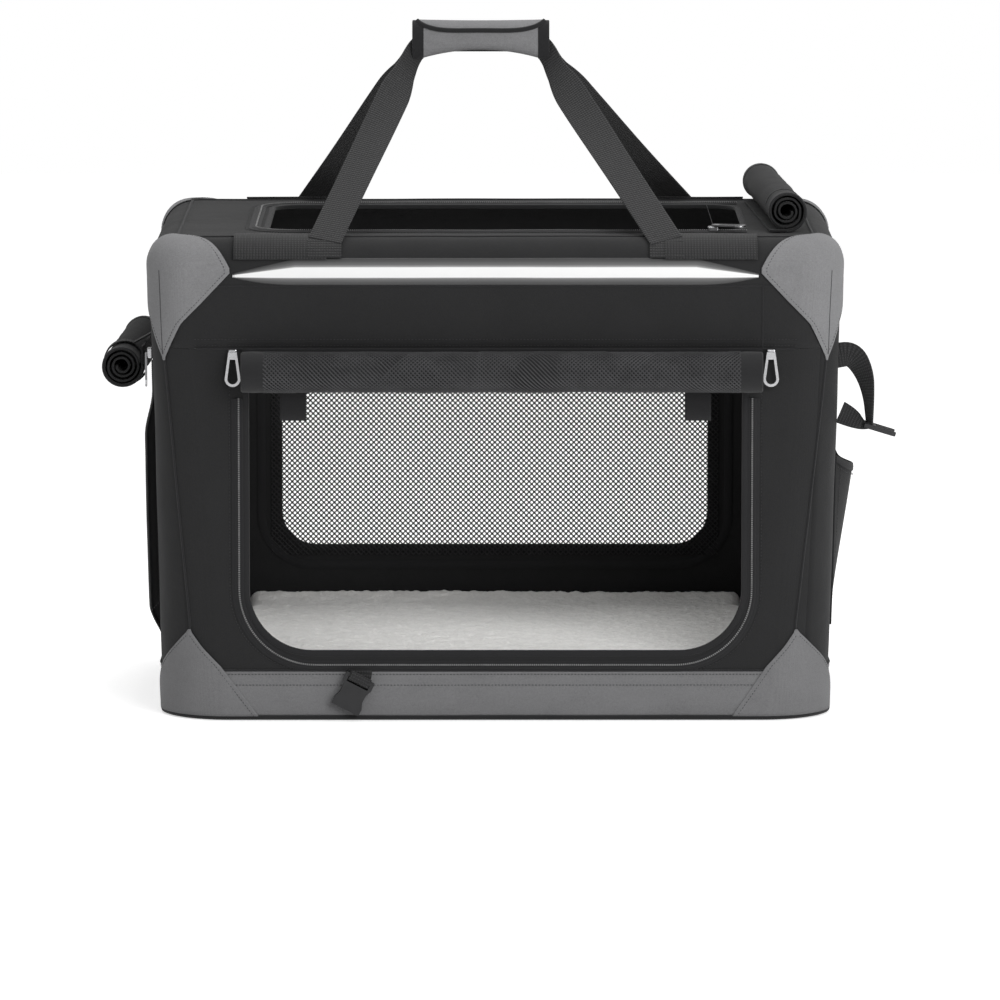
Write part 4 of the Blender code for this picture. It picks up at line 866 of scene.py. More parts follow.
def bound(name, path, facing, closed=True, half=BINDING_HALF, thick=BINDING_THICK):
    """Binding tape folded round a cut edge."""
    return swept(name, path, facing, half, thick, "binding_tape", closed, 10, BINDING_SQUARE)


def piping(name, path, facing, radius=SEAM_RADIUS, height=SEAM_RADIUS, closed=False):
    """Thin piped seam."""
    return swept(name, path, facing, radius, height, "binding_tape", closed=closed, sides=6)


def face_outwards(piece):
    shape = bmesh.new()
    shape.from_mesh(piece.data)
    bmesh.ops.recalc_face_normals(shape, faces=shape.faces)
    shape.to_mesh(piece.data)
    shape.free()
    return piece


def settle(piece):
    """Turn a piece and its modifiers into a plain mesh."""
    bpy.context.view_layer.update()
    graph = bpy.context.evaluated_depsgraph_get()
    mesh = bpy.data.meshes.new_from_object(piece.evaluated_get(graph), depsgraph=graph)
    piece.modifiers.clear()
    piece.data = mesh
    return piece


def cut_out(piece, outline, place, axes, finish, keep_inside=False):
    """Cut a hole of that outline through a walled piece, then make it a plain mesh."""
    first, second = (Vector(axis).normalized() for axis in axes)
    third = first.cross(second) * 0.06
    points = []
    for shift in (-1, 1):
        points += [Vector(place) + first * a + second * b + third * shift for a, b in outline]
    count = len(outline)
    faces = [tuple(reversed(range(count))), tuple(range(count, 2 * count))]
    for index in range(count):
        following = (index + 1) % count
        faces.append((index, following, count + following, count + index))
    cutter = face_outwards(piece_from(piece.name + "_cutter", points, faces, finish))
    hole = piece.modifiers.new("hole", "BOOLEAN")
    hole.operation = "INTERSECT" if keep_inside else "DIFFERENCE"
    hole.solver = "EXACT"
    hole.object = cutter
    settle(piece)
    bpy.data.objects.remove(cutter, do_unlink=True)
    one_finish(piece.data, finish)
    smoothed(piece.data)
    return piece


def joined(name, pieces):
    """Several pieces made one mesh, which keeps each one's finish."""
    for piece in pieces:
        settle(piece)
    finishes = []
    shape = bmesh.new()
    for piece in pieces:
        finish = piece.data.materials[0]
        if finish not in finishes:
            finishes.append(finish)
        before = len(shape.faces)
        shape.from_mesh(piece.data)
        shape.faces.ensure_lookup_table()
        for face in shape.faces[before:]:
            face.material_index = finishes.index(finish)
    mesh = bpy.data.meshes.new(name)
    shape.to_mesh(mesh)
    shape.free()
    for piece in pieces:
        bpy.data.objects.remove(piece, do_unlink=True)
    for finish in finishes:
        mesh.materials.append(finish)
    smoothed(mesh)
    return placed(name, mesh)


# Repeated details


def repeat_tree(kind):
    """Geometry nodes that set a stitch or a zip tooth at even steps along each path."""
    found = bpy.data.node_groups.get(kind)
    if found:
        return found
    tree = bpy.data.node_groups.new(kind, "GeometryNodeTree")
    face = tree.interface
    face.new_socket("Paths", in_out="INPUT", socket_type="NodeSocketGeometry")
    for name in ("Pitch", "Length", "Width", "Height"):
        face.new_socket(name, in_out="INPUT", socket_type="NodeSocketFloat")
    face.new_socket("Facing", in_out="INPUT", socket_type="NodeSocketVector")
    face.new_socket("Finish", in_out="INPUT", socket_type="NodeSocketMaterial")
    face.new_socket("Pieces", in_out="OUTPUT", socket_type="NodeSocketGeometry")
    nodes, links = tree.nodes, tree.links
    source, target = nodes.new("NodeGroupInput"), nodes.new("NodeGroupOutput")
    curve = nodes.new("GeometryNodeMeshToCurve")
    steps = nodes.new("GeometryNodeResampleCurve")
    steps.mode = "LENGTH"
    links.new(source.outputs["Paths"], curve.inputs["Mesh"])
    links.new(curve.outputs["Curve"], steps.inputs["Curve"])
    links.new(source.outputs["Pitch"], steps.inputs["Length"])
    if kind == "zip_teeth_along":
        shape = nodes.new("GeometryNodeMeshCube")
    else:
        shape = nodes.new("GeometryNodeMeshUVSphere")
        shape.inputs["Segments"].default_value = 6
        shape.inputs["Rings"].default_value = 4
        shape.inputs["Radius"].default_value = 0.5
    sizes = nodes.new("ShaderNodeCombineXYZ")
    for socket, name in zip(sizes.inputs, ("Length", "Width", "Height")):
        links.new(source.outputs[name], socket)
    sized = nodes.new("GeometryNodeTransform")
    links.new(shape.outputs["Mesh"], sized.inputs["Geometry"])
    links.new(sizes.outputs[0], sized.inputs["Scale"])
    tangent = nodes.new("GeometryNodeInputTangent")
    along = nodes.new("FunctionNodeAlignRotationToVector")
    along.axis = "X"
    links.new(tangent.outputs[0], along.inputs["Vector"])
    outward = nodes.new("FunctionNodeAlignRotationToVector")
    outward.axis = "Z"
    outward.pivot_axis = "X"
    links.new(along.outputs["Rotation"], outward.inputs["Rotation"])
    links.new(source.outputs["Facing"], outward.inputs["Vector"])
    instance = nodes.new("GeometryNodeInstanceOnPoints")
    links.new(steps.outputs["Curve"], instance.inputs["Points"])
    links.new(sized.outputs["Geometry"], instance.inputs["Instance"])
    links.new(outward.outputs["Rotation"], instance.inputs["Rotation"])
    real = nodes.new("GeometryNodeRealizeInstances")
    links.new(instance.outputs["Instances"], real.inputs["Geometry"])
    painted = nodes.new("GeometryNodeSetMaterial")
    links.new(real.outputs["Geometry"], painted.inputs["Geometry"])
    links.new(source.outputs["Finish"], painted.inputs["Material"])
    links.new(painted.outputs["Geometry"], target.inputs["Pieces"])
    return tree


def repeated(name, kind, paths, sizes, facing, finish):
    """One piece of stitches or teeth along all the paths given."""
    points, edges = [], []
    for path in paths:
        first = len(points)
        points += [tuple(point) for point in path]
        edges += [(index, index + 1) for index in range(first, len(points) - 1)]
    mesh = bpy.data.meshes.new(name)
    mesh.from_pydata(points, edges, [])
    piece = placed(name, mesh)
    tree = repeat_tree(kind)
    made = piece.modifiers.new("repeat", "NODES")
    made.node_group = tree
    values = dict(zip(("Pitch", "Length", "Width", "Height"), sizes))
    values["Facing"] = tuple(facing)
    values["Finish"] = finish_named(finish)
    for item in tree.interface.items_tree:
        if item.item_type == "SOCKET" and item.in_out == "INPUT" and item.name in values:
            made[item.identifier] = values[item.name]
    settle(piece)
    if not piece.data.polygons:
        raise RuntimeError(f"{name} came out empty")
    one_finish(piece.data, finish)
    piece.data.shade_smooth()
    return piece


def stitches(name, paths, finish="sewing_thread", facing=(0.0, 0.0, 1.0)):
    sizes = settings().sizes
    thread = 2 * sizes.thread
    return repeated(name, "stitches_along", paths,
                    (sizes.stitch_pitch, sizes.stitch_length, thread, thread), facing, finish)


# Teeth in the painted glint colour: a fine line of painted highlights along a zip coil
def teeth(name, path, facing):
    sizes = settings().sizes
    pitch = sizes.tooth_pitch
    return repeated(name, "zip_teeth_along", [path],
                    (pitch, pitch * TOOTH_SHARE, sizes.tooth_width, TOOTH_HEIGHT), facing, "zip_teeth")


# How pieces move


def on_base(piece):
    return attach(piece, "base")


def on_face(piece):
    """Cloth of the front or back: it stays on the base."""
    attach(piece, "base")
    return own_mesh(piece)


def on_end(piece):
    """Cloth of an end: its place is baked into its mesh, and it rides on no body."""
    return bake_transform(piece)


def on_top(piece):
    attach(piece, "top")
    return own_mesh(piece)


def on_pocket(piece):
    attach(piece, "right_end")
    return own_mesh(piece)


def on_left_roll(piece):
    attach(piece, "left_end")
    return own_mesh(piece)


def on_top_roll(piece):
    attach(piece, "top")
    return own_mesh(piece)


def on_straps(piece):
    """Handle straps: they ride on the top."""
    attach(piece, "top")
    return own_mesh(piece)


def clothed(piece, slot, *nodes):
    if nodes:
        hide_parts(*nodes)
    return piece


# Base


def build_tray():
    """Base panel with its piping, the grey band with its stitch rows, and the bottom patches."""
    bottom = level(BASE_PANEL)
    rows = []
    for inset, height in UNDERSIDE_PROFILE:
        outline = rounded_outline(
            (-bottom.half_x + inset, -bottom.half_y + inset),
            (bottom.half_x - inset, bottom.half_y - inset),
            bottom.radius - inset, steps=16,
        )
        rows.append([Vector((x, y, height)) for x, y in outline])
    panel = loft("base_underside", rows, "binding_tape", closed=True)
    shape = bmesh.new()
    shape.from_mesh(panel.data)
    bmesh.ops.holes_fill(shape, edges=shape.edges)
    bmesh.ops.recalc_face_normals(shape, faces=shape.faces)
    shape.to_mesh(panel.data)
    shape.free()
    clothed(on_base(panel), "black_fabric", "base_panel")

    ring = [around(level(0.0030, out=0.0005), place) for place in places_between(0.0, 8.0, 40, 16)[:-1]]
    rim = swept("base_piping", ring, UP, BASE_PIPING_RADIUS, BASE_PIPING_RADIUS, "binding_tape", closed=True)
    clothed(on_base(rim), "black_fabric")

    places = places_between(0.0, 8.0, 48, 14)[:-1]
    rows = [[skin(height, 0.0, place, out) for place in places] for height, out in BAND_PROFILE]
    band = loft("base_band_cloth", rows, "grey_cloth", 0.0018, closed=True)
    clothed(on_base(band), "grey_fabric", "base_band")

    lines = []
    for height in BAND_STITCH_ROWS:
        line = [skin(height, 0.0, place, 0.0011) for place in places]
        lines.append(line + [line[0]])
    clothed(on_base(stitches("base_band_stitches", lines)), "black_fabric")

    top_seam = [skin(BAND_SEAM_HEIGHT, 0.0, place, 0.0008) for place in places]
    seam = piping("base_seam_piping", top_seam, UP, 0.0010, 0.0010, closed=True)
    clothed(on_base(seam), "black_fabric")

    for quarter, corner in enumerate(CORNERS):
        stations = patch_stations(BOTTOM_PATCH_SHARES, BOTTOM_PATCH_HALF_WIDTH, BOTTOM_PATCH_TIP, BAND_LOW)
        stations.reverse()
        patch = patch_cloth(corner + "_bottom_patch_cloth", stations, quarter, "grey_cloth")
        clothed(on_base(patch), "grey_fabric", corner + "_bottom_patch")
        thread = patch_stitches(corner + "_bottom_patch_stitches", stations, quarter)
        clothed(on_base(thread), "black_fabric")


def spread(shares, at):
    """Half width share at a height share, read between the table's rows."""
    for (low, width), (high, wider) in zip(shares, shares[1:]):
        if at <= high:
            return width + (wider - width) * (at - low) / (high - low)
    return shares[-1][1]


def patch_stations(shares, half_width, tip, base):
    """Heights of a patch on the wall, from its tip to its base, with the half width at each."""
    stations = []
    for row in range(PATCH_ROWS + 1):
        share = row / PATCH_ROWS
        width = max(spread(shares, share) * half_width, PATCH_TIP_HALF)
        stations.append((tip + share * (base - tip), 0.0, width))
    return stations


def lean(quarter, height):
    """How far a bottom patch and the seam above it lie from the corner's middle."""
    if height < BOTTOM_PATCH_TIP:
        reach = (BOTTOM_PATCH_TIP - height) / BOTTOM_PATCH_TIP
    else:
        reach = (height - BOTTOM_PATCH_TIP) / (TOP_PATCH_TIP - BOTTOM_PATCH_TIP)
    return BOTTOM_TIP_LEANS[quarter] * max(0.0, 1.0 - reach)


def patch_lean(quarter, height):
    """Lean of a patch at a height; the top patches have none."""
    return lean(quarter, height) if height < BOTTOM_PATCH_TIP + PROBE else 0.0


def edge_drop(edge):
    """How far a patch lies down at a distance from its edge: turned under, drawn in by its stitches."""
    turned_under = max(0.0, 1 - edge / 0.0030)
    drawn_in = max(0.0, 1 - abs(edge - PATCH_STITCH_MARGIN) / 0.0016)
    return 0.0009 * turned_under + 0.0005 * drawn_in


def patch_cloth(name, stations, quarter, finish):
    """Corner patch whose edge is turned under and drawn down by its stitches."""
    rows = []
    for height, turn, width in stations:
        row = []
        for column in range(PATCH_COLUMNS + 1):
            share = math.sin((2 * column / PATCH_COLUMNS - 1) * math.pi / 2)
            drop = edge_drop(width * (1 - abs(share)))
            section = level(height, turn, PATCH_OUT - drop)
            place = corner_place(section, quarter, width * share + patch_lean(quarter, height))
            row.append(skin(height, turn, place, PATCH_OUT - drop))
        rows.append(row)
    return loft(name, rows, finish, PATCH)


def patch_stitches(name, stations, quarter):
    """Stitch row a few millimetres inside the patch's two long edges."""
    lines = []
    for way in (-1, 1):
        line = []
        for height, turn, width in stations:
            reach = width - PATCH_STITCH_MARGIN
            if reach < 0.0010:
                continue
            section = level(height, turn, PATCH_OUT)
            place = corner_place(section, quarter, way * reach + patch_lean(quarter, height))
            line.append(skin(height, turn, place, PATCH_OUT - 0.0003))
        lines.append(line)
    return stitches(name, lines)


def curls(point):
    """Height of the fleece at a point, from 0 in a hollow to 1 on a curl."""
    tuft = noise.noise(point * 62.0)
    curl = abs(noise.noise(point * 128.0 + Vector((5.0, 1.0, 2.0))))
    fine = noise.noise(point * 290.0)
    return 0.5 + 0.45 * tuft + 0.75 * (curl - 0.25) + 0.22 * fine


def build_pad():
    """Fleece pad: drawn in at its edges, crowned, with curls all over its top."""
    sizes = settings().sizes
    low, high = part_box("floor_pad")
    half_x, half_y = high[0] - 0.0016, high[1] - 0.0016
    base_z, crown_z = low[2] + 0.0004, high[2] - 0.0034
    step = sizes.pad_grid * 1
    across, along = math.ceil(2 * half_x / step), math.ceil(2 * half_y / step)

    def inward(x, y):
        """Distance from the pad's edge, notches and rounds included."""
        reach = min(half_x - abs(x), half_y - abs(y))
        notch = math.hypot(max(PAD_NOTCH_X - abs(x), 0.0), max(PAD_NOTCH_Y - abs(y), 0.0))
        if abs(x) > PAD_NOTCH_X and abs(y) > PAD_NOTCH_Y:
            return -1.0
        return min(reach, notch)

    points, index = [], {}
    for column in range(across + 1):
        for row in range(along + 1):
            x = -half_x + 2 * half_x * column / across
            y = -half_y + 2 * half_y * row / along
            deep = inward(x, y)
            if deep < -0.5:
                continue
            index[column, row] = len(points)
            rise = min(max(deep, 0.0) / PAD_ROUND, 1.0)
            full = math.sqrt(max(0.0, 1 - (1 - rise) ** 2))
            wave = noise.noise(Vector((x * 6.0, y * 6.0, 2.0))) * 0.0016
            height = base_z + PAD_SIDE + (crown_z - base_z - PAD_SIDE) * full + wave * full
            height += PAD_TURN_UP * max(0.0, 1 - (half_y - y) / PAD_TURN_RUN) ** 2
            tuft = (curls(Vector((x, y, 0.0))) - 0.5) * sizes.pile
            points.append(Vector((x, y, height + tuft * (0.35 + 0.65 * full))))
    faces = []
    for column in range(across):
        for row in range(along):
            corners = ((column, row), (column + 1, row), (column + 1, row + 1), (column, row + 1))
            if all(corner in index for corner in corners):
                faces.append(tuple(index[corner] for corner in corners))
    shape = bmesh.new()
    made = [shape.verts.new(point) for point in points]
    for face in faces:
        shape.faces.new([made[corner] for corner in face])
    loose = [vertex for vertex in shape.verts if not vertex.link_faces]
    bmesh.ops.delete(shape, geom=loose, context="VERTS")
    for drop, pull in PAD_RIM:
        rim = [edge for edge in shape.edges if edge.is_boundary]
        added = bmesh.ops.extrude_edge_only(shape, edges=rim)["geom"]
        for vertex in added:
            if isinstance(vertex, bmesh.types.BMVert):
                centre = Vector((vertex.co.x, vertex.co.y, 0.0))
                vertex.co -= centre.normalized() * pull
                vertex.co.z = max(vertex.co.z - drop, base_z)
    rim = [edge for edge in shape.edges if edge.is_boundary]
    bmesh.ops.holes_fill(shape, edges=rim)
    bmesh.ops.recalc_face_normals(shape, faces=shape.faces)
    mesh = bpy.data.meshes.new("fleece_pad")
    shape.to_mesh(mesh)
    shape.free()
    pad = new_piece("fleece_pad", mesh, "fleece_pile")
    mesh.set_sharp_from_angle(angle=math.radians(180))
    clothed(on_base(pad), "fleece", "floor_pad")


# Front and back


def panel_cloth(name, stations, places):
    rows = [[skin(height, turn, place) for place in places] for height, turn in stations]
    return loft(name, rows, "black_cloth", FABRIC)


def corner_seam(quarter, facing):
    """Piped seam up a corner, from the tip of the bottom patch to the tip of the top one."""
    line = []
    for height in steps_between(BOTTOM_PATCH_TIP - 0.010, TOP_PATCH_TIP + 0.002, 34):
        place = corner_place(level(height), quarter, lean(quarter, height))
        line.append(skin(height, 0.0, place, 0.0004))
    return piping("corner_seam_part", line, facing)


def front_line(reach, height):
    """Level line across the front, as far as reach to both sides."""
    return [front_point(x, height, 0.0002) for x in steps_between(-reach, reach, 90)]


def build_front():
    """Front panel round its doorway, the header above it, the seams, bindings and zip."""
    places = places_between(-CORNER_SEAM, 1 + CORNER_SEAM, 72)
    panel = panel_cloth("front_panel_cloth", wall_stations(WALL_LOW, HEADER_SEAM, 36, False), places)
    low, high = (-DOOR_HALF_WIDTH, DOOR_SILL), (DOOR_HALF_WIDTH, HEADER_SEAM + DOOR_RADIUS)
    outline = rounded_outline(low, high, DOOR_RADIUS, steps=18)
    cut_out(panel, outline, NORTH * FRONT_Y, (EAST, UP), "black_cloth")
    clothed(on_face(panel), "black_fabric", "front_wall")

    stations = wall_stations(HEADER_SEAM + 0.0003, HEIGHT - EDGE_RADIUS, 10)
    header = panel_cloth("front_header_cloth", stations, places)
    clothed(on_face(header), "black_fabric", "front_header")

    seams = []
    for height, radius in HEADER_PIPING:
        half = level(height).half_x - level(height).radius * 0.6
        seams.append(piping("header_seam_part", front_line(half, height), -NORTH, radius, radius * 0.8))
    heights = steps_between(HEADER_SEAM, HEADER_SEAM_TOP, 10)
    upright = [front_point(HEADER_SEAM_X, height, 0.0002) for height in heights]
    seams.append(piping("header_seam_part", upright, -NORTH, 0.0007, 0.0006))
    seams += [corner_seam(quarter, -NORTH) for quarter in (3, 0)]
    clothed(on_face(joined("front_seams", seams)), "black_fabric")

    lines = [front_line(HEADER_STITCH_REACH, height) for height in HEADER_STITCH_ROWS]
    clothed(on_face(stitches("front_header_stitches", lines)), "black_fabric")
    margin = DOOR_STITCH_MARGIN
    path = door_outline(
        DOOR_HALF_WIDTH + margin, DOOR_SILL - margin - 0.0015, HEADER_SEAM - 0.002, DOOR_RADIUS + margin
    )
    lines = [[front_point(x, z, 0.0003) for x, z in evenly(path, 0.008)]]
    clothed(on_face(stitches("front_stitches", lines)), "black_fabric")

    lap = 0.0006
    doorway = door_outline(DOOR_HALF_WIDTH - lap, DOOR_SILL + lap, HEADER_SEAM - 0.004, DOOR_RADIUS, 18)
    path = [front_point(x, z, -FABRIC / 2) for x, z in evenly(doorway, 0.009)]
    clothed(on_face(bound("front_doorway_binding", path, -NORTH, closed=False)), "black_fabric")
    outline = door_outline(
        DOOR_HALF_WIDTH + SIDE_ZIP_MARGIN, DOOR_SILL - ZIP_MARGIN, DOOR_ZIP_TOP, DOOR_RADIUS + ZIP_MARGIN, 18
    )
    build_zip("front", outline, front_point, -NORTH, on_face, "front_zip")


def moved_in(path, distance):
    """Plane path moved sideways, towards the inside of a doorway that it runs round."""
    found = []
    for index, spot in enumerate(path):
        before, after = path[max(index - 1, 0)], path[min(index + 1, len(path) - 1)]
        along = (Vector(after) - Vector(before)).normalized()
        found.append(Vector(spot) + Vector((-along.y, along.x)) * distance)
    return found


def build_zip(name, outline, place_at, facing, carry, node):
    """Zip: a tape on each side of the dark coil, and a fine line of pale teeth painted as the coil's glints.
    """
    even = evenly(outline, 0.006)
    middle = [place_at(a, b, 0.0006) for a, b in even]
    tape = swept(name + "_zip_tape", middle, facing, ZIP_TAPE_HALF, ZIP_TAPE, "binding_tape", power=0.5)
    ridge = [place_at(a, b, 0.0012) for a, b in even]
    coil = swept(name + "_zip_coil", ridge, facing, ZIP_COIL_HALF, ZIP_COIL, "binding_tape")
    glint = [place_at(a, b, TOOTH_RISE) for a, b in moved_in(even, TOOTH_SHIFT)]
    row = teeth(name + "_zip_teeth", glint, facing)
    clothed(carry(joined(name + "_zip_run", [tape, coil, row])), "black_fabric", node)


def build_edge_strip():
    """Strip along the front's upper edge that carries the painted highlight; it narrows to the patch tips at
    both ends.
    """
    rows, uvs = [], []
    for x in steps_between(-STRIP_HALF_LENGTH, STRIP_HALF_LENGTH, 110):
        reach = min((STRIP_HALF_LENGTH - abs(x)) / STRIP_SLOPE, 1.0)
        top = STRIP_TIP_HIGH + (STRIP_HIGH - STRIP_TIP_HIGH) * reach
        low = STRIP_LOW + (STRIP_CORE - STRIP_LOW - STRIP) * (1 - reach) ** 2
        row = []
        for share in steps_between(0.0, 1.0, 18):
            if share < STRIP_LOW_SHARE:
                height = low + (STRIP_CORE - low) * share / STRIP_LOW_SHARE
            else:
                rest = (share - STRIP_LOW_SHARE) / (1 - STRIP_LOW_SHARE)
                height = STRIP_CORE + (top - STRIP_CORE) * rest
            out = 0.0002 + STRIP_CROWN * (1 - (2 * share - 1) ** 2)
            turn = max(0.0, height - HEIGHT + EDGE_RADIUS) / EDGE_RADIUS * 2 / math.pi
            section = level(height, turn)
            row.append(skin(height, turn, front_place(section, x), out))
            uvs.append((x, share))
        rows.append(row)
    across = len(rows[0])
    faces = []
    for row in range(len(rows) - 1):
        for column in range(across - 1):
            near, far = row * across, (row + 1) * across
            faces.append((near + column, far + column, far + column + 1, near + column + 1))
    points = [point for row in rows for point in row]
    strip = piece_from("front_edge_strip_cloth", points, faces, "light_strip", uvs)
    wall(strip, STRIP)
    clothed(on_face(strip), "light_trim", "front_edge_strip")


def build_back():
    """Back panel round its window, the window's bindings, and the diamond net behind it."""
    places = places_between(4 - CORNER_SEAM, 5 + CORNER_SEAM, 72)
    panel = panel_cloth("back_panel_cloth", wall_stations(WALL_LOW, HEIGHT - EDGE_RADIUS, 44), places)
    outline = window_ring(0.0, 0.0, 16)
    cut_out(panel, outline, NORTH * (DEPTH / 2), (EAST, UP), "black_cloth")
    clothed(on_face(panel), "black_fabric", "back_wall")

    path = [back_point(x, z, -0.0012) for x, z in evenly(outline, 0.008, closed=True)]
    seams = [bound("window_binding_part", path, NORTH, half=0.0030, thick=0.0019)]
    wide = evenly(window_ring(WINDOW_HEM, WINDOW_HEM_ROUNDING, 14), 0.008, closed=True)
    path = [back_point(x, z, -0.0030) for x, z in wide]
    seams.append(swept("window_binding_part", path, NORTH, 0.0042, 0.0009, "binding_tape", closed=True))
    seams += [corner_seam(quarter, NORTH) for quarter in (1, 2)]
    clothed(on_face(joined("back_seams", seams)), "black_fabric")

    lines = []
    for margin in WINDOW_STITCH_MARGINS:
        ring = evenly(window_ring(margin, margin, 12), 0.008, closed=True)
        line = [back_point(x, z, 0.0003) for x, z in ring]
        lines.append(line + [line[0]])
    reach = steps_between(-BACK_STITCH_REACH, BACK_STITCH_REACH, 80)
    lines.append([back_point(x, BACK_STITCH_HEIGHT, 0.0003) for x in reach])
    clothed(on_face(stitches("back_stitches", lines, "pale_thread")), "black_fabric")
    clothed(on_face(window_net()), "black_fabric", "back_window_net")


def window_net():
    """Net of straight strands both ways, trimmed to the window and its hem."""
    sizes = settings().sizes
    half_x = WINDOW_HALF_WIDTH + WINDOW_LAP
    low, high = WINDOW_LOW - WINDOW_LAP, WINDOW_HIGH + WINDOW_LAP
    radius = sizes.net_strand / 2
    y = DEPTH / 2 - FABRIC - 0.0013
    points, faces = [], []
    for way in (-1, 1):
        depth = y + way * radius * 0.45
        count = math.ceil((2 * half_x + (high - low)) / sizes.net_pitch) + 1
        for index in range(count):
            offset = -half_x - (high - low) + index * sizes.net_pitch
            start, end = (Vector((way * (offset + (z - low)), depth, z)) for z in (low, high))
            span = end - start
            near = max(0.0, (-half_x - min(start.x, end.x)) / abs(span.x))
            far = min(1.0, (half_x - min(start.x, end.x)) / abs(span.x))
            if way < 0:
                near, far = 1 - far, 1 - near
            near, far = max(near, 0.0), min(far, 1.0)
            if far - near < 0.02:
                continue
            a, b = start + span * near, start + span * far
            along = (b - a).normalized()
            across = along.cross(NORTH).normalized() * radius
            out = NORTH * radius * 0.8
            first = len(points)
            for spot in (a, b):
                points += [spot + across, spot + out, spot - across, spot - out]
            for side in range(4):
                following = (side + 1) % 4
                faces.append((first + side, first + following, first + 4 + following, first + 4 + side))
            faces.append((first + 3, first + 2, first + 1, first))
            faces.append((first + 4, first + 5, first + 6, first + 7))
    return face_outwards(piece_from("window_net_strands", points, faces, "back_net"))


def spiral_roll(name, start, end, first, second, turns, tail, finish, columns=40, wobble=0.0007):
    """A door rolled up on itself, its layers eased and its outside a little uneven."""
    rows = []
    for step in range(round(turns * ROLL_STEPS) + 1):
        angle = 2 * math.pi * step / ROLL_STEPS
        radius = ROLL_CORE + ROLL_PITCH * step / ROLL_STEPS
        out = first * math.cos(angle) + second * math.sin(angle)
        row = []
        for column in range(columns + 1):
            share = column / columns
            at = start.lerp(end, share)
            lumps = noise.noise(Vector((share * 9.0, angle * 0.45, turns)))
            small = noise.noise(Vector((share * 31.0, angle * 1.7, 4.0)))
            edge = 1 - min(min(share, 1 - share) * 18, 1.0)
            row.append(at + out * (radius + (lumps + 0.5 * small) * wobble - edge * 0.0004))
        rows.append(row)
    edge = rows[-1]
    for part in (1 / 3, 2 / 3, 1.0):
        rows.append([spot + tail * part for spot in edge])
    return loft(name, rows, finish, ROLL_SHEET)


def outer_radius(turns, angle):
    """Radius of a roll's outermost layer at an angle from where it starts."""
    share = angle / (2 * math.pi) % 1.0
    return ROLL_CORE + ROLL_PITCH * (math.floor(turns - share) + share)


def hem_rings(name, start, end, first, second, turns, width):
    """Bound hems at both ends of a roll."""
    return [hem_ring(name, start, end, first, second, turns, width, at_start) for at_start in (True, False)]


def hem_ring(name, start, end, first, second, turns, width, at_start):
    """Bound hem that shows as a band round one end of a roll."""
    way = (end - start).normalized()
    spot = start if at_start else end - way * width
    rows = []
    for step in range(33):
        angle = 2 * math.pi * (turns - (32 - step) / 33)
        radius = outer_radius(turns, angle - 0.001)
        out = first * math.cos(angle) + second * math.sin(angle)
        rows.append([
            spot + way * (width * share) + out * (radius + HEM_LIFT + bump) for share, bump in HEM_PROFILE
        ])
    return loft(name, rows, "binding_tape", HEM)


def build_front_roll():
    """Mesh door rolled up under the header: its spiral, its netting, its hems, and its two tabs."""
    centre_y, centre_z = FRONT_Y - 0.0003 - ROLL_REACH, HEADER_SEAM - WALL_ROLL_RADIUS
    start, end = (Vector((x, centre_y, centre_z)) for x in (FRONT_ROLL_LEFT, FRONT_ROLL_RIGHT))
    axes = (start, end, -NORTH, -UP)
    tail = UP * WALL_ROLL_RADIUS
    roll = spiral_roll("front_roll_spiral", *axes, WALL_ROLL_TURNS, tail, "inner_cloth")
    hems = hem_rings("front_roll_hem_part", *axes, WALL_ROLL_TURNS, FRONT_HEM_WIDTH)
    clothed(on_face(joined("front_rolled_door", [roll] + hems)), "black_fabric", "front_door_roll")
    clothed(on_face(door_netting("front_roll_netting", *axes)), "black_fabric")

    for side, name in ((-1, "left_door_tab"), (1, "right_door_tab")):
        rows = []
        for z in steps_between(TAB_LOW, TAB_HIGH, 14):
            bow = 0.0
            if z < HEADER_SEAM:
                bow = 0.0012 * math.sin(math.pi * min(1.0, (HEADER_SEAM - z) / 0.069))
            y = FRONT_Y + FABRIC + 0.0004 + bow
            across = [side * TAB_X + TAB_WIDTH * (share - 0.5) for share in (0.0, 0.1, 0.5, 0.9, 1.0)]
            rows.append([Vector((x, y, z)) for x in across])
        tab = loft(name + "_cloth", rows, "binding_tape", TAB)
        clothed(on_face(tab), "black_fabric", name)


def door_netting(name, start, end, first, second):
    """Outer layers of a rolled mesh door: strands wound both ways round the roll."""
    sizes = settings().sizes
    way = (end - start).normalized()
    length = (end - start).length - 2 * DOOR_NET_MARGIN
    mean = WALL_ROLL_RADIUS - ROLL_PITCH / 2
    count = round(2 * math.pi * mean / sizes.door_net_pitch)
    steps = round(length / DOOR_NET_STEP)
    thick = DOOR_NET_THICK
    points, faces = [], []
    for hand in (-1, 1):
        for strand in range(count):
            begin = 2 * math.pi * strand / count
            ring_start = len(points)
            for step in range(steps + 1):
                share = step / steps
                angle = begin + hand * length * share * 0.9 / mean
                radius = outer_radius(WALL_ROLL_TURNS, angle) + DOOR_NET_LIFT
                bulge = noise.noise(Vector((share * 9.0, angle * 0.45, WALL_ROLL_TURNS))) * 0.0007
                middle = start + way * (DOOR_NET_MARGIN + length * share)
                out = first * math.cos(angle) + second * math.sin(angle)
                spot = middle + out * (radius + bulge + hand * 0.0002)
                side = out.cross(way) * thick * 0.8 + way * thick * 0.8 * hand
                points += [spot + out * thick, spot + side, spot - out * thick, spot - side]
            for step in range(steps):
                near, far = ring_start + 4 * step, ring_start + 4 * step + 4
                for corner in range(4):
                    following = (corner + 1) % 4
                    faces.append((near + corner, near + following, far + following, far + corner))
            faces.append(tuple(ring_start + corner for corner in (3, 2, 1, 0)))
            last = ring_start + 4 * steps
            faces.append(tuple(last + corner for corner in range(4)))
    return face_outwards(piece_from(name, points, faces, "door_net"))


# Ends


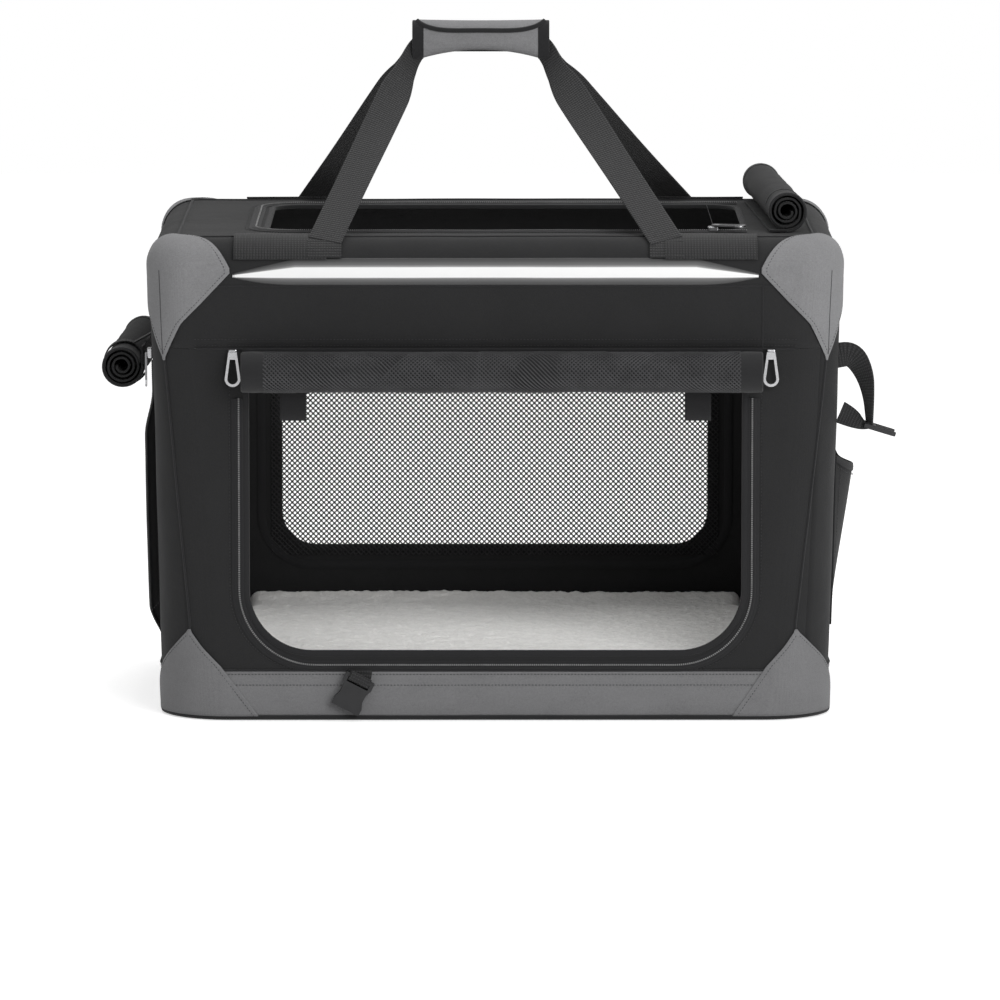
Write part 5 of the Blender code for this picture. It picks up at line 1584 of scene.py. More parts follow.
def left_ring(margin):
    """U outline a margin outside the left doorway."""
    half_width, low = END_DOOR_HALF_WIDTH + margin, END_DOOR_LOW - margin
    return door_outline(half_width, low, END_ZIP_TOP, END_DOOR_RADIUS + margin, 14)


def build_ends():
    """End panels, the doorway and zip on the left, and the open pocket on the right."""
    rows = wall_stations(WALL_LOW, HEIGHT - EDGE_RADIUS, 44)
    left = panel_cloth("left_panel_cloth", rows, places_between(5 + CORNER_SEAM, 8 - CORNER_SEAM, 50))
    low, high = (-END_DOOR_HALF_WIDTH, END_DOOR_LOW), (END_DOOR_HALF_WIDTH, END_DOOR_HIGH)
    outline = rounded_outline(low, high, END_DOOR_RADIUS, steps=14)
    cut_out(left, outline, -EAST * level(0.2).half_x, (NORTH, UP), "black_cloth")
    clothed(on_end(left), "black_fabric", "left_end_wall")
    right = panel_cloth("right_panel_cloth", rows, places_between(1 + CORNER_SEAM, 4 - CORNER_SEAM, 50))
    clothed(on_end(right), "black_fabric", "right_end_wall")

    def left_at(a, b, out=0.0):
        """Point on the left end, whose doorway stands a little proud below the rolled door."""
        near = max(abs(a) - END_DOOR_HALF_WIDTH - ZIP_MARGIN, END_DOOR_LOW - ZIP_MARGIN - b, 0.0) / 0.004
        share = min(max(min((END_DOOR_HIGH - 0.040 - b) / 0.045, (b - 0.070) / 0.030), 0.0), 1.0)
        ease = share * share * (3 - 2 * share)
        return end_point(-1, a, b, out + END_ZIP_RISE * ease * max(0.0, 1 - near))

    path = [left_at(a, b, -FABRIC / 2) for a, b in evenly(outline, 0.008, closed=True)]
    clothed(on_end(bound("left_doorway_binding", path, -EAST)), "black_fabric")
    build_zip("left", left_ring(ZIP_MARGIN), left_at, -EAST, lambda piece: on_end(piece), "left_zip")
    turned = []
    for margin, out in FLANGE_PROFILE:
        turned.append([left_at(a, b, out) for a, b in spaced(left_ring(margin), 90)])
    flange = face_outwards(loft("left_doorway_flange", turned, "black_cloth", FLANGE))
    clothed(on_end(flange), "black_fabric")
    half_width, low = END_DOOR_HALF_WIDTH + STITCH_MARGIN, END_DOOR_LOW - STITCH_MARGIN
    path = door_outline(half_width, low, END_STITCH_TOP, END_DOOR_RADIUS + STITCH_ROUNDING, 14)
    lines = [[left_at(a, b, 0.0003) for a, b in evenly(path, 0.008)]]
    clothed(on_end(stitches("left_end_stitches", lines, "pale_thread")), "black_fabric")

    rows = []
    for row in range(21):
        rise = row / 20
        line = []
        for column in range(49):
            across = 2 * column / 48 - 1
            height = POCKET_LOW + (POCKET_HIGH - POCKET_LOW - POCKET_SAG * (1 - across ** 8)) * rise
            gape = POCKET_BULGE * (0.42 + 0.75 * math.exp(-((across + 0.72) / 0.30) ** 2))
            bulge = gape * rise ** 1.1 * (1 - across ** 12)
            line.append(end_point(1, across * POCKET_HALF_WIDTH, height, 0.0020 + bulge))
        rows.append(line)
    pocket = loft("pocket_cloth", rows, "black_cloth", POCKET_CLOTH)
    hem = swept("pocket_hem_part", rows[-1], EAST, 0.0040, 0.0009, "binding_tape", sides=8)
    side_lines = [[row[0] for row in rows], rows[0], [row[-1] for row in rows]]
    welt = [piping("pocket_hem_part", line, EAST, SEAM_RADIUS, 0.0010) for line in side_lines]
    whole = joined("right_pocket_cloth", [pocket, hem] + welt)
    clothed(on_pocket(whole), "black_fabric", "right_pocket")
    lift = EAST * 0.0004
    line = [row[1] + lift for row in rows[::-1]]
    line += [spot + lift + UP * 0.004 for spot in rows[0][1:-1]]
    line += [row[-2] + lift for row in rows]
    upper = [spot + EAST * 0.0005 - UP * 0.0075 for spot in rows[-1]]
    thread = stitches("pocket_stitches", [line, upper], "pale_thread", EAST)
    clothed(on_pocket(thread), "black_fabric")


def build_left_roll():
    """Left door rolled up over its doorway, and the webbing strap that ties it."""
    centre = Vector((-(level(END_ROLL_Z).half_x + END_ROLL_GAP + ROLL_REACH), 0.0, END_ROLL_Z))
    reach = NORTH * END_ROLL_HALF_LENGTH
    start, end = centre + reach, centre - reach - EAST * END_ROLL_SWING
    axes = (start, end, -EAST, -UP)
    tail = UP * (END_DOOR_HIGH - END_ROLL_Z)
    roll = spiral_roll("left_roll_spiral", *axes, WALL_ROLL_TURNS, tail, "black_cloth", columns=30)
    hems = hem_rings("left_roll_hem_part", *axes, WALL_ROLL_TURNS, END_HEM_WIDTH)
    whole = joined("left_rolled_door", [roll] + hems)
    clothed(on_left_roll(whole), "black_fabric", "left_door_roll")

    at = start.lerp(end, 0.5 - ROLL_STRAP_Y / (2 * END_ROLL_HALF_LENGTH))
    spots = []
    for height in (0.018, 0.009):
        section = level(END_DOOR_HIGH + height)
        spots.append(Vector((-(section.half_x + 0.0008), ROLL_STRAP_Y, END_DOOR_HIGH + height)))
    for step in range(41):
        angle = math.radians(-115 + 265 * step / 40)
        ring = outer_radius(WALL_ROLL_TURNS, angle) + ROLL_STRAP_LIFT
        spots.append(at - EAST * (ring * math.cos(angle)) - UP * (ring * math.sin(angle)))
    shifts = [NORTH * (ROLL_STRAP_HALF * share) for share in (1.0, 0.8, 0.0, -0.8, -1.0)]
    rows = [[spot + shift for shift in shifts] for spot in spots]
    strap = loft("left_roll_tie_strap", rows, "webbing_strap", 0.0014)
    clothed(on_left_roll(strap), "webbing", "left_roll_strap")


# Top


def build_top():
    """Top panel round its opening, its edge welt, its zip and the webbing along the edges."""
    section = level(0.0, 1.0)
    edge_x, edge_y = section.half_x - 0.0008, section.half_y - 0.0008
    across = steps_between(-edge_x, edge_x, 90)
    rows = [[top_point(x, y) for x in across] for y in steps_between(-edge_y, edge_y, 60)]
    outline = rounded_outline((-edge_x, -edge_y), (edge_x, edge_y), section.radius, steps=12)
    low, high = (TOP_OPENING_LEFT, TOP_OPENING_FRONT), (TOP_OPENING_RIGHT, TOP_OPENING_BACK)
    opening = rounded_outline(low, high, TOP_OPENING_RADIUS, steps=14)
    panel = loft("top_panel_cloth", rows, "black_cloth", FABRIC)
    cut_out(panel, opening, UP * HEIGHT, (EAST, NORTH), "black_cloth")
    cut_out(panel, outline, UP * HEIGHT, (EAST, NORTH), "black_cloth", keep_inside=True)
    clothed(on_top(panel), "black_fabric", "top_panel")

    path = [top_point(a, b, -FABRIC / 2) for a, b in evenly(opening, 0.008, closed=True)]
    tape = bound("top_opening_binding", path, UP, thick=0.0022)
    path = [top_point(a, b, 0.0002) for a, b in evenly(outline, 0.008, closed=True)]
    welt = swept("top_edge_welt", path, UP, 0.0014, 0.0012, "binding_tape", closed=True)
    clothed(on_top(joined("top_bindings", [tape, welt])), "black_fabric")

    low_y, high_y = TOP_OPENING_FRONT - ZIP_MARGIN, TOP_OPENING_BACK + ZIP_MARGIN
    far_x, radius = TOP_OPENING_LEFT - ZIP_MARGIN, TOP_OPENING_RADIUS + ZIP_MARGIN
    path = (
        [(TOP_OPENING_RIGHT, high_y)]
        + arc((far_x + radius, high_y - radius), radius, 90, 180, 14)
        + arc((far_x + radius, low_y + radius), radius, 180, 270, 14)
        + [(TOP_OPENING_RIGHT, low_y)]
    )
    build_zip("top", path, top_point, UP, on_top, "top_zip")
    low = (TOP_OPENING_LEFT - STITCH_MARGIN, TOP_OPENING_FRONT - STITCH_MARGIN)
    high = (TOP_OPENING_RIGHT, TOP_OPENING_BACK + STITCH_MARGIN)
    wide = rounded_outline(low, high, TOP_OPENING_RADIUS + STITCH_ROUNDING, steps=10)
    ring = evenly(wide, 0.008, closed=True)
    line = [top_point(a, b, 0.0003) for a, b in ring if a < TOP_OPENING_RIGHT - 0.03]
    clothed(on_top(stitches("top_stitches", [line], "pale_thread")), "black_fabric")

    shares = steps_between(WEBBING_TURN_SHARE, 1.0, 12)
    for side, end_name in ((-1, "left"), (1, "right")):
        for back, face in ((0, "front"), (1, "back")):
            place_on = back_place if back else front_place
            rows = []
            for x in steps_between(side * WEBBING_INNER_X, side * WEBBING_OUTER_X, 44):
                row = []
                for share in shares:
                    section = level(0.0, share, 0.0020)
                    row.append(skin(0.0, share, place_on(section, x), 0.0020))
                rows.append(row)
            node = f"{face}_{end_name}_edge_webbing"
            flip = (side > 0) == bool(back)
            webbing = loft(node + "_cloth", rows, "webbing_strap", WEBBING, flip=flip)
            clothed(on_top(webbing), "webbing", node)


def build_top_roll():
    """Top flap rolled up at the right, its stitched hem, and the elastic band over it."""
    start, end = TOP_ROLL_FRONT, TOP_ROLL_BACK
    way = (end - start).normalized()
    axes = (start, end, EAST, -UP)
    tail = -EAST * TOP_ROLL_TAIL
    roll = spiral_roll("top_roll_spiral", *axes, TOP_ROLL_TURNS, tail, "black_cloth", wobble=0.0009)
    hems = hem_rings("top_roll_hem_part", *axes, TOP_ROLL_TURNS, TOP_HEM_WIDTH)
    rows = []
    spot = start + way * ELASTIC_SHIFT
    for step in range(25):
        angle = 2 * math.pi * (TOP_ROLL_TURNS - 0.72 * (24 - step) / 24)
        out = EAST * math.cos(angle) - UP * math.sin(angle)
        radius = outer_radius(TOP_ROLL_TURNS, angle - 0.001)
        at = spot + out * (radius + 0.0014)
        rows.append([at + way * shift for shift in (-ELASTIC_HALF, ELASTIC_HALF)])
    elastic = loft("top_roll_elastic_part", rows, "binding_tape", 0.0010)
    whole = joined("top_rolled_flap", [roll, elastic] + hems)
    clothed(on_top_roll(whole), "black_fabric", "top_flap_roll")
    lines = []
    for shift in TOP_ROLL_STITCHES:
        line = []
        for step in range(31):
            angle = 2 * math.pi * (TOP_ROLL_TURNS - 0.9 * (30 - step) / 30)
            radius = outer_radius(TOP_ROLL_TURNS, angle - 0.001) + 0.0019
            line.append(start + way * shift + (EAST * math.cos(angle) - UP * math.sin(angle)) * radius)
        lines.append(line)
    thread = stitches("top_roll_stitches", lines, "pale_thread", EAST)
    clothed(on_top_roll(thread), "black_fabric")


def build_top_patches():
    """Grey patches over the four upper corners, each in one sheet from wall to top."""
    for quarter, corner in enumerate(CORNERS):
        stations = patch_stations(TOP_PATCH_SHARES, TOP_PATCH_HALF_WIDTH, TOP_PATCH_TIP, TOP_PATCH_WIDEST)
        for share in steps_between(0.0, 1.0, 12):
            narrowing = 0.35 * share + 0.65 * share ** 2
            width = TOP_PATCH_HALF_WIDTH + (TOP_PATCH_NECK - TOP_PATCH_HALF_WIDTH) * narrowing
            stations.append((HEIGHT - EDGE_RADIUS, share, width))
        body = "right_end" if quarter in (0, 1) else "left_end"
        patch = patch_cloth(corner + "_top_patch_cloth", stations, quarter, "patch_cloth")
        clothed(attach(patch, body), "grey_fabric", corner + "_top_patch")
        thread = patch_stitches(corner + "_top_patch_stitches", stations, quarter)
        clothed(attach(thread, body), "black_fabric")
        heights = steps_between(TOP_CREASE_LOW, TOP_CREASE_HIGH, 20)
        crease = [skin(height, 0.0, 2 * quarter + 1.5, PATCH_OUT - 0.0002) for height in heights]
        facing = NORTH if quarter in (1, 2) else -NORTH
        seam = swept(corner + "_top_patch_seam", crease, facing, 0.0006, 0.0004, "sewing_thread", sides=6)
        clothed(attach(seam, body), "black_fabric")


# Handle and straps


def smooth_path(knots):
    path = [tuple(knot) for knot in knots]
    for _ in range(SMOOTH_CUTS):
        smoother = [path[0]]
        for near, far in zip(path, path[1:]):
            for share in (0.25, 0.75):
                smoother.append(tuple(a.lerp(b, share) for a, b in zip(near, far)))
        smoother.append(path[-1])
        path = smoother
    return path


def ribbon(name, knots, width, thickness):
    """Flat strap along a smooth path, with ribs across it."""
    path = smooth_path(knots)
    fine = [path[0]]
    for near, far in zip(path, path[1:]):
        count = max(1, math.ceil((far[0] - near[0]).length / 0.008))
        fine += [tuple(a.lerp(b, part / count) for a, b in zip(near, far)) for part in range(1, count + 1)]
    rows = []
    for index, (place, across) in enumerate(fine):
        before = fine[max(index - 1, 0)][0]
        after = fine[min(index + 1, len(fine) - 1)][0]
        along = (after - before).normalized()
        here = width(index / (len(fine) - 1)) if callable(width) else width
        side = (across - along * across.dot(along)).normalized() * (here / 2)
        facing = side.cross(along).normalized()
        rows.append([
            place + side * share + facing * (thickness / 2)
            for share in (-1.0, -0.92, -0.5, 0.0, 0.5, 0.92, 1.0)
        ])
    return loft(name, rows, "webbing_strap", thickness)


def gathered(share):
    """Width of a handle strap along its length: it is drawn together inside the grip."""
    near = min(max((abs(2 * share - 1) - 0.26) / 0.16, 0.0), 1.0)
    return WEBBING_WIDTH * (GATHER_SHARE + (1 - GATHER_SHARE) * near * near * (3 - 2 * near))


def build_handle():
    """Two webbing straps from the top edges to the padded grip that wraps them."""
    middle_z = (GRIP_LOW + GRIP_HIGH) / 2
    exit_z = middle_z - GRIP_LEAD
    for back, name, foot_x in (
        (-1, "front_handle_strap", HANDLE_FOOT_FRONT_X), (1, "back_handle_strap", HANDLE_FOOT_BACK_X)
    ):
        place_on = back_place if back > 0 else front_place
        feet = []
        for turn in FOOT_TURNS:
            section = level(0.0, turn, FOOT_OUT)
            feet.append([around(section, place_on(section, side * foot_x)) for side in (-1, 1)])
        left_foot, right_foot = feet[-1]
        strap_y, leg_y = back * GRIP_STRAP_Y, back * LEG_TOP_Y
        left_top = Vector((GRIP_LEFT - LEG_TOP_X, leg_y, middle_z - LEG_TOP_DROP))
        right_top = Vector((GRIP_RIGHT + LEG_TOP_X, leg_y, middle_z - LEG_TOP_DROP))
        knots = [
            (left_foot, EAST.copy()),
            (left_foot.lerp(left_top, 0.5), EAST.copy()),
            (left_top, (EAST - UP).normalized()),
            (Vector((GRIP_LEFT + GRIP_EXIT, strap_y, exit_z)), (EAST * 0.5 - UP).normalized()),
            (Vector((GRIP_LEFT + GRIP_LEAD, strap_y, middle_z)), -UP),
            (Vector(((GRIP_LEFT + GRIP_RIGHT) / 2, strap_y, middle_z)), -UP),
            (Vector((GRIP_RIGHT - GRIP_LEAD, strap_y, middle_z)), -UP),
            (Vector((GRIP_RIGHT - GRIP_EXIT, strap_y, exit_z)), (-EAST * 0.5 - UP).normalized()),
            (right_top, (-EAST - UP).normalized()),
            (right_foot.lerp(right_top, 0.5), -EAST),
            (right_foot, -EAST),
        ]
        strap = ribbon(name + "_webbing", knots, gathered, WEBBING)
        clothed(on_straps(strap), "webbing", name)
        ends = []
        for side in (0, 1):
            line = [(pair[side], EAST.copy()) for pair in feet]
            ends.append(ribbon(name + "_foot_part", line, WEBBING_WIDTH, WEBBING))
        clothed(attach(joined(name + "_feet", ends), "top"), "webbing")
        lines = []
        for foot, leg_top in ((left_foot, left_top), (right_foot, right_top)):
            up = (leg_top - foot).normalized()
            for shift in FOOT_STITCHES:
                at = foot + up * shift + NORTH * (back * 0.0013)
                lines.append([at + EAST * (FOOT_STITCH_HALF * share) for share in (-1.0, 0.0, 1.0)])
        clothed(on_straps(stitches(name + "_stitches", lines, "pale_thread")), "webbing")
    build_grip()


def grip_ring(x, grow=0.0, steps=32):
    """Closed section of the grip at x: an upright oval that is slimmer in the middle."""
    share = (x - GRIP_LEFT) / (GRIP_RIGHT - GRIP_LEFT)
    pinch = 1 - (2 * share - 1) ** 2
    low = GRIP_LOW + GRIP_PINCH * pinch - grow
    high = GRIP_HIGH - 0.0010 * pinch + grow
    half_y = GRIP_HALF_DEPTH + 0.0006 + 0.0018 * pinch + grow
    middle, half_z = (low + high) / 2, (high - low) / 2
    found = []
    for step in range(steps):
        angle = 2 * math.pi * step / steps
        y, z = math.cos(angle), math.sin(angle)
        y = math.copysign(abs(y) ** GRIP_SQUARE, y)
        z = math.copysign(abs(z) ** GRIP_SQUARE, z)
        found.append(Vector((x, half_y * y, middle + half_z * z)))
    return found


def build_grip():
    """Padded wrap with dark bindings at its ends, closed by a flap with a curved edge."""
    rows = [grip_ring(x) for x in steps_between(GRIP_LEFT, GRIP_RIGHT, 40)]
    body = face_outwards(loft("grip_body_part", rows, "patch_cloth", GRIP_WALL, closed=True))
    bindings = []
    for start, end in (
        (GRIP_LEFT - 0.0006, GRIP_LEFT + GRIP_BINDING), (GRIP_RIGHT - GRIP_BINDING, GRIP_RIGHT + 0.0006)
    ):
        rows = [grip_ring(start + (end - start) * share, grow) for share, grow in GRIP_BINDING_PROFILE]
        bindings.append(face_outwards(loft("grip_binding_part", rows, "binding_tape", 0.0012, closed=True)))
    rows, edge = [], []
    for share in steps_between(0.0, 1.0, 40):
        x = GRIP_LEFT + 0.004 + (GRIP_RIGHT - GRIP_LEFT - 0.008) * share
        ring = grip_ring(x, 0.0016, 64)
        reach = 7 + 10 * (1 - abs(2 * share - 1) ** 4) ** 0.6
        row = []
        for part in range(17):
            index = 12 + reach * part / 16
            low = math.floor(index)
            row.append(ring[low % 64].lerp(ring[(low + 1) % 64], index - low))
        rows.append(row)
        edge.append(row[-1])
    flap = face_outwards(loft("grip_flap_part", rows, "patch_cloth", 0.0012))
    trim = swept("grip_flap_trim_part", edge, -NORTH, 0.0022, 0.0015, "binding_tape")
    whole = joined("grip_wrap_cloth", [body, flap, trim] + bindings)
    clothed(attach(whole, "handle"), "grey_fabric", "grip_wrap")


def build_closing_strap():
    """Closing strap off the right end, with its loose tail through the male buckle."""
    root = Vector((level(CLOSURE_Z).half_x + 0.0003, CLOSURE_Y, CLOSURE_Z))
    knots = [(root - EAST * 0.004, UP.copy())]
    for (out, drop), turned in zip(CLOSURE_SHARES, CLOSURE_ACROSS):
        spot = root + EAST * (out * CLOSURE_OUT) - UP * (drop * CLOSURE_DROP)
        knots.append((spot, Vector(turned).normalized()))
    strap = ribbon("closing_strap_webbing", knots, CLOSURE_WIDTH, WEBBING)
    bend = root + EAST * (1.03 * CLOSURE_OUT) - UP * CLOSURE_DROP
    tail_knots = [
        (bend + EAST * 0.0010 - UP * 0.0040, NORTH.copy()),
        (bend - EAST * 0.0070 - UP * 0.0020, (NORTH + EAST * 0.25 + UP * 0.25).normalized()),
        (bend - EAST * 0.0160 + UP * 0.0040, (NORTH * 0.7 + EAST * 0.5 + UP * 0.6).normalized()),
        (bend - EAST * 0.0280 + UP * 0.0100, (NORTH * 0.3 + EAST * 0.7 + UP * 0.7).normalized()),
    ]
    tail = ribbon("closing_strap_tail_part", tail_knots, CLOSURE_WIDTH * 0.9, WEBBING)
    whole = joined("closing_strap_cloth", [strap, tail])
    clothed(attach(whole, "closure"), "webbing", "closure_strap")


def build_buckle_loop():
    """Webbing loop on the base band that carries the female buckle."""
    hang = Vector((-math.sin(FEMALE_TILT), 0.0, -math.cos(FEMALE_TILT)))
    across = Vector((math.cos(FEMALE_TILT), 0.0, -math.sin(FEMALE_TILT)))
    top = FEMALE_TOP
    slot = top + hang * 0.0060
    near = 0.0058
    wall_y = FRONT_Y - 0.0013
    knots = [
        (Vector((top.x, wall_y, LOOP_HIGH)), EAST.copy()),
        (Vector((top.x, wall_y, LOOP_BEND)), (EAST + across).normalized()),
        (Vector((slot.x, wall_y, slot.z)), across.copy()),
        (slot, across.copy()),
        (slot - NORTH * near, across.copy()),
        (top - NORTH * near, across.copy()),
        (top - NORTH * near / 2 - hang * 0.0020, across.copy()),
    ]
    loop = ribbon("buckle_loop_webbing", knots, LOOP_WIDTH, WEBBING)
    clothed(on_base(loop), "webbing", "buckle_loop")


# Hardware and stage

HARDWARE = {
    "tube_steel": (
        "base_frame", "left_end_frame", "right_end_frame", "left_front_hinge_bracket",
        "left_back_hinge_bracket", "right_front_hinge_bracket", "right_back_hinge_bracket",
    ),
    "bright_chrome": (
        "left_front_hinge_pin", "left_back_hinge_pin", "right_front_hinge_pin", "right_back_hinge_pin",
        "front_left_slider", "front_right_slider", "left_end_slider", "top_slider",
        "front_left_pull", "front_right_pull", "left_end_pull", "top_pull",
    ),
    "buckle_plastic": ("male_buckle", "female_buckle"),
    "floor_card": ("floor_board",),
}

# Each light's name, place, size and power
LIGHTS = (
    ("key_softbox", (1.5, -3.0, 1.9), 1.9, 60.0),
    ("front_fill", (2.2, -2.7, 0.5), 1.3, 16.0),
    ("top_softbox", (-0.2, 0.3, 2.6), 1.6, 24.0),
)
LIGHT_TARGET = (0.0, 0.0, 0.22)
FLOOR_HALF = 6.0
FLOOR_GLOW = 0.54
BACKDROP_LIGHT = 0.50
CAMERA_PLACE = (-0.01, -7.73, 1.15)
CAMERA_TARGET = (0.0, -0.23, 0.2117)
CAMERA_LENS = 286.5
CAMERA_SHIFT = 0.0045


def dress_hardware():
    """Finishes for the rigid nodes that are carried over as they are."""
    for finish, nodes in HARDWARE.items():
        for node in nodes:
            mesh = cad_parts[node].data
            mesh.materials.clear()
            mesh.materials.append(finish_named(finish))


def aimed(name, data, place, target):
    item = placed(name, data)
    item.location = place
    item.rotation_euler = (Vector(target) - Vector(place)).to_track_quat("-Z", "Y").to_euler()
    return item


def build_stage():
    """Pale floor, soft studio lights, white backdrop and the camera."""
    scene = bpy.context.scene
    scene.view_settings.view_transform = "Standard"

    kit = Wiring("studio_floor")
    grain = kit.noise(3.0, 2.0)
    kit.tint(grain, (0.93, 0.93, 0.93), 0.995, 1.0)
    kit.roughness(grain, 0.85, 0.95)
    rays = kit.add("ShaderNodeLightPath")
    direct = kit.maths("ADD", rays.outputs["Is Camera Ray"], rays.outputs["Is Glossy Ray"])
    seen = kit.maths("MINIMUM", kit.maths("ADD", direct, rays.outputs["Is Transmission Ray"]), 1.0)
    glow = kit.add("ShaderNodeEmission")
    kit.wire(kit.maths("MULTIPLY", seen, FLOOR_GLOW), glow.inputs["Strength"])
    both = kit.add("ShaderNodeAddShader")
    kit.wire(kit.shader.outputs[0], both.inputs[0])
    kit.wire(glow.outputs[0], both.inputs[1])
    kit.wire(both.outputs[0], kit.nodes["Material Output"].inputs["Surface"])
    half = FLOOR_HALF
    corners = [(-half, -half, 0.0), (half, -half, 0.0), (half, half, 0.0), (-half, half, 0.0)]
    mesh = bpy.data.meshes.new("studio_floor")
    mesh.from_pydata(corners, [], [(0, 1, 2, 3)])
    mesh.materials.append(kit.material)
    floor = placed("studio_floor", mesh)

    world = bpy.data.worlds.new("studio_white")
    scene.world = world
    world.use_nodes = True
    nodes, links = world.node_tree.nodes, world.node_tree.links
    rays = nodes.new("ShaderNodeLightPath")
    seen = nodes.new("ShaderNodeMath")
    seen.operation = "MAXIMUM"
    links.new(rays.outputs["Is Camera Ray"], seen.inputs[0])
    links.new(rays.outputs["Is Transmission Ray"], seen.inputs[1])
    strength = nodes.new("ShaderNodeMapRange")
    strength.inputs["To Min"].default_value = BACKDROP_LIGHT
    strength.inputs["To Max"].default_value = 1.0
    links.new(seen.outputs[0], strength.inputs["Value"])
    links.new(strength.outputs["Result"], nodes["Background"].inputs["Strength"])
    nodes["Background"].inputs["Color"].default_value = (1.0, 1.0, 1.0, 1.0)

    for name, place, size, power in LIGHTS:
        lamp = bpy.data.lights.new(name, "AREA")
        lamp.shape = "SQUARE"
        lamp.size = size
        lamp.energy = power
        aimed(name, lamp, place, LIGHT_TARGET)

    camera = bpy.data.cameras.new("studio_camera")
    camera.lens = CAMERA_LENS
    camera.clip_end = 60.0
    camera.shift_x = CAMERA_SHIFT
    scene.camera = aimed("studio_camera", camera, CAMERA_PLACE, CAMERA_TARGET)


# Operators and panel


class CRATE_OT_tray(bpy.types.Operator):
    """Build the base panel, its piping, the grey band and the bottom patches"""

    bl_idname = "dog_crate.tray"
    bl_label = "Base Tray"

    def execute(self, context):
        build_tray()
        return {"FINISHED"}


class CRATE_OT_pad(bpy.types.Operator):
    """Build the fleece pad on the floor"""

    bl_idname = "dog_crate.pad"
    bl_label = "Fleece Pad"

    def execute(self, context):
        build_pad()
        return {"FINISHED"}


class CRATE_OT_front(bpy.types.Operator):
    """Build the front panel, header, seams, bindings and zip"""

    bl_idname = "dog_crate.front"
    bl_label = "Front Panel"

    def execute(self, context):
        build_front()
        return {"FINISHED"}


class CRATE_OT_edge_strip(bpy.types.Operator):
    """Build the strip along the front's upper edge that carries the painted highlight"""

    bl_idname = "dog_crate.edge_strip"
    bl_label = "Edge Strip"

    def execute(self, context):
        build_edge_strip()
        return {"FINISHED"}


class CRATE_OT_back(bpy.types.Operator):
    """Build the back panel, its window bindings and its net"""

    bl_idname = "dog_crate.back"
    bl_label = "Back Panel and Net"

    def execute(self, context):
        build_back()
        return {"FINISHED"}


class CRATE_OT_front_roll(bpy.types.Operator):
    """Build the rolled mesh door of the front and its two tabs"""

    bl_idname = "dog_crate.front_roll"
    bl_label = "Front Door Roll"

    def execute(self, context):
        build_front_roll()
        return {"FINISHED"}


class CRATE_OT_ends(bpy.types.Operator):
    """Build both end panels, the left zip and the right pocket"""

    bl_idname = "dog_crate.ends"
    bl_label = "End Panels"

    def execute(self, context):
        build_ends()
        return {"FINISHED"}


class CRATE_OT_left_roll(bpy.types.Operator):
    """Build the rolled door of the left end and its strap"""

    bl_idname = "dog_crate.left_roll"
    bl_label = "Left Door Roll"

    def execute(self, context):
        build_left_roll()
        return {"FINISHED"}


class CRATE_OT_top(bpy.types.Operator):
    """Build the top panel, its zip and the edge webbing"""

    bl_idname = "dog_crate.top"
    bl_label = "Top Panel"

    def execute(self, context):
        build_top()
        return {"FINISHED"}


class CRATE_OT_top_roll(bpy.types.Operator):
    """Build the rolled top flap with its hem and elastic band"""

    bl_idname = "dog_crate.top_roll"
    bl_label = "Top Flap Roll"

    def execute(self, context):
        build_top_roll()
        return {"FINISHED"}


class CRATE_OT_top_patches(bpy.types.Operator):
    """Build the grey patches over the four upper corners"""

    bl_idname = "dog_crate.top_patches"
    bl_label = "Top Corner Patches"

    def execute(self, context):
        build_top_patches()
        return {"FINISHED"}


class CRATE_OT_handle(bpy.types.Operator):
    """Build the carrying straps and the padded grip"""

    bl_idname = "dog_crate.handle"
    bl_label = "Handle and Grip"

    def execute(self, context):
        build_handle()
        return {"FINISHED"}


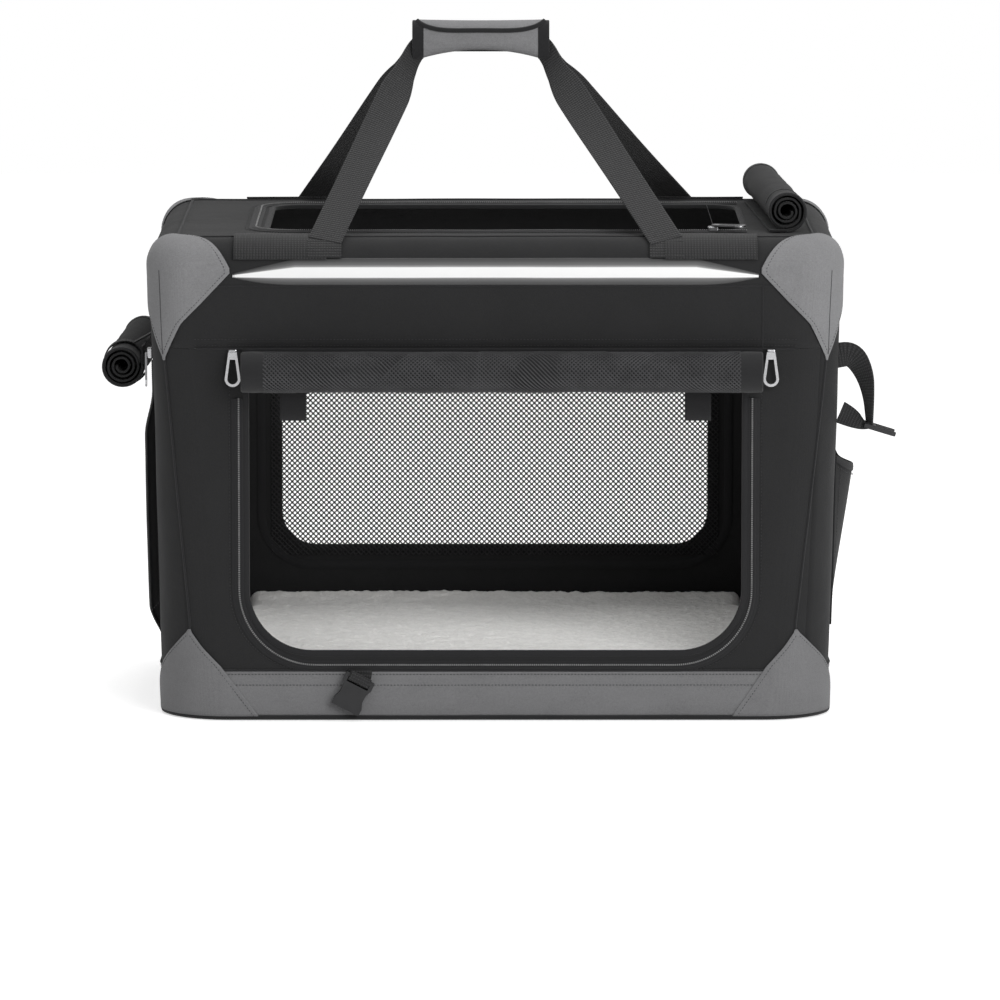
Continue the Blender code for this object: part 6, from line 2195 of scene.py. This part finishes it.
class CRATE_OT_closing_strap(bpy.types.Operator):
    """Build the closing strap and the loop of the female buckle"""

    bl_idname = "dog_crate.closing_strap"
    bl_label = "Closing Strap and Loop"

    def execute(self, context):
        build_closing_strap()
        build_buckle_loop()
        return {"FINISHED"}


class CRATE_OT_hardware(bpy.types.Operator):
    """Give the frame, hinges, zip pulls and buckles their finishes"""

    bl_idname = "dog_crate.hardware"
    bl_label = "Frame and Hardware"

    def execute(self, context):
        dress_hardware()
        return {"FINISHED"}


class CRATE_OT_stage(bpy.types.Operator):
    """Build the floor, the lights, the backdrop and the camera"""

    bl_idname = "dog_crate.stage"
    bl_label = "Stage"

    def execute(self, context):
        build_stage()
        return {"FINISHED"}


OPERATORS = (
    CRATE_OT_stage, CRATE_OT_tray, CRATE_OT_pad, CRATE_OT_front, CRATE_OT_edge_strip, CRATE_OT_back,
    CRATE_OT_front_roll, CRATE_OT_ends, CRATE_OT_left_roll, CRATE_OT_top, CRATE_OT_top_roll,
    CRATE_OT_top_patches, CRATE_OT_handle, CRATE_OT_closing_strap, CRATE_OT_hardware,
)


class CRATE_PT_sidebar(bpy.types.Panel):
    """Lists the crate's pieces, sizes and colours"""

    bl_idname = "CRATE_PT_sidebar"
    bl_label = "Dog Crate"
    bl_space_type = "VIEW_3D"
    bl_region_type = "UI"
    bl_category = "Dog Crate"

    def draw(self, context):
        for operator in OPERATORS:
            self.layout.operator(operator.bl_idname)
        for group in (context.scene.dog_crate.sizes, context.scene.dog_crate.colours):
            box = self.layout.box()
            for key in group.__annotations__:
                box.prop(group, key)


CLASSES = (CrateSizes, CrateColours, CrateSettings) + OPERATORS + (CRATE_PT_sidebar,)


def register():
    for item in CLASSES:
        bpy.utils.register_class(item)
    bpy.types.Scene.dog_crate = bpy.props.PointerProperty(type=CrateSettings)


def unregister():
    del bpy.types.Scene.dog_crate
    for item in reversed(CLASSES):
        bpy.utils.unregister_class(item)


def main():
    register()
    for operator in OPERATORS:
        group, name = operator.bl_idname.split(".")
        if getattr(getattr(bpy.ops, group), name)() != {"FINISHED"}:
            raise RuntimeError(f"{operator.bl_label} didn't finish")
    bpy.context.view_layer.update()


if __name__ == "__main__":
    main()
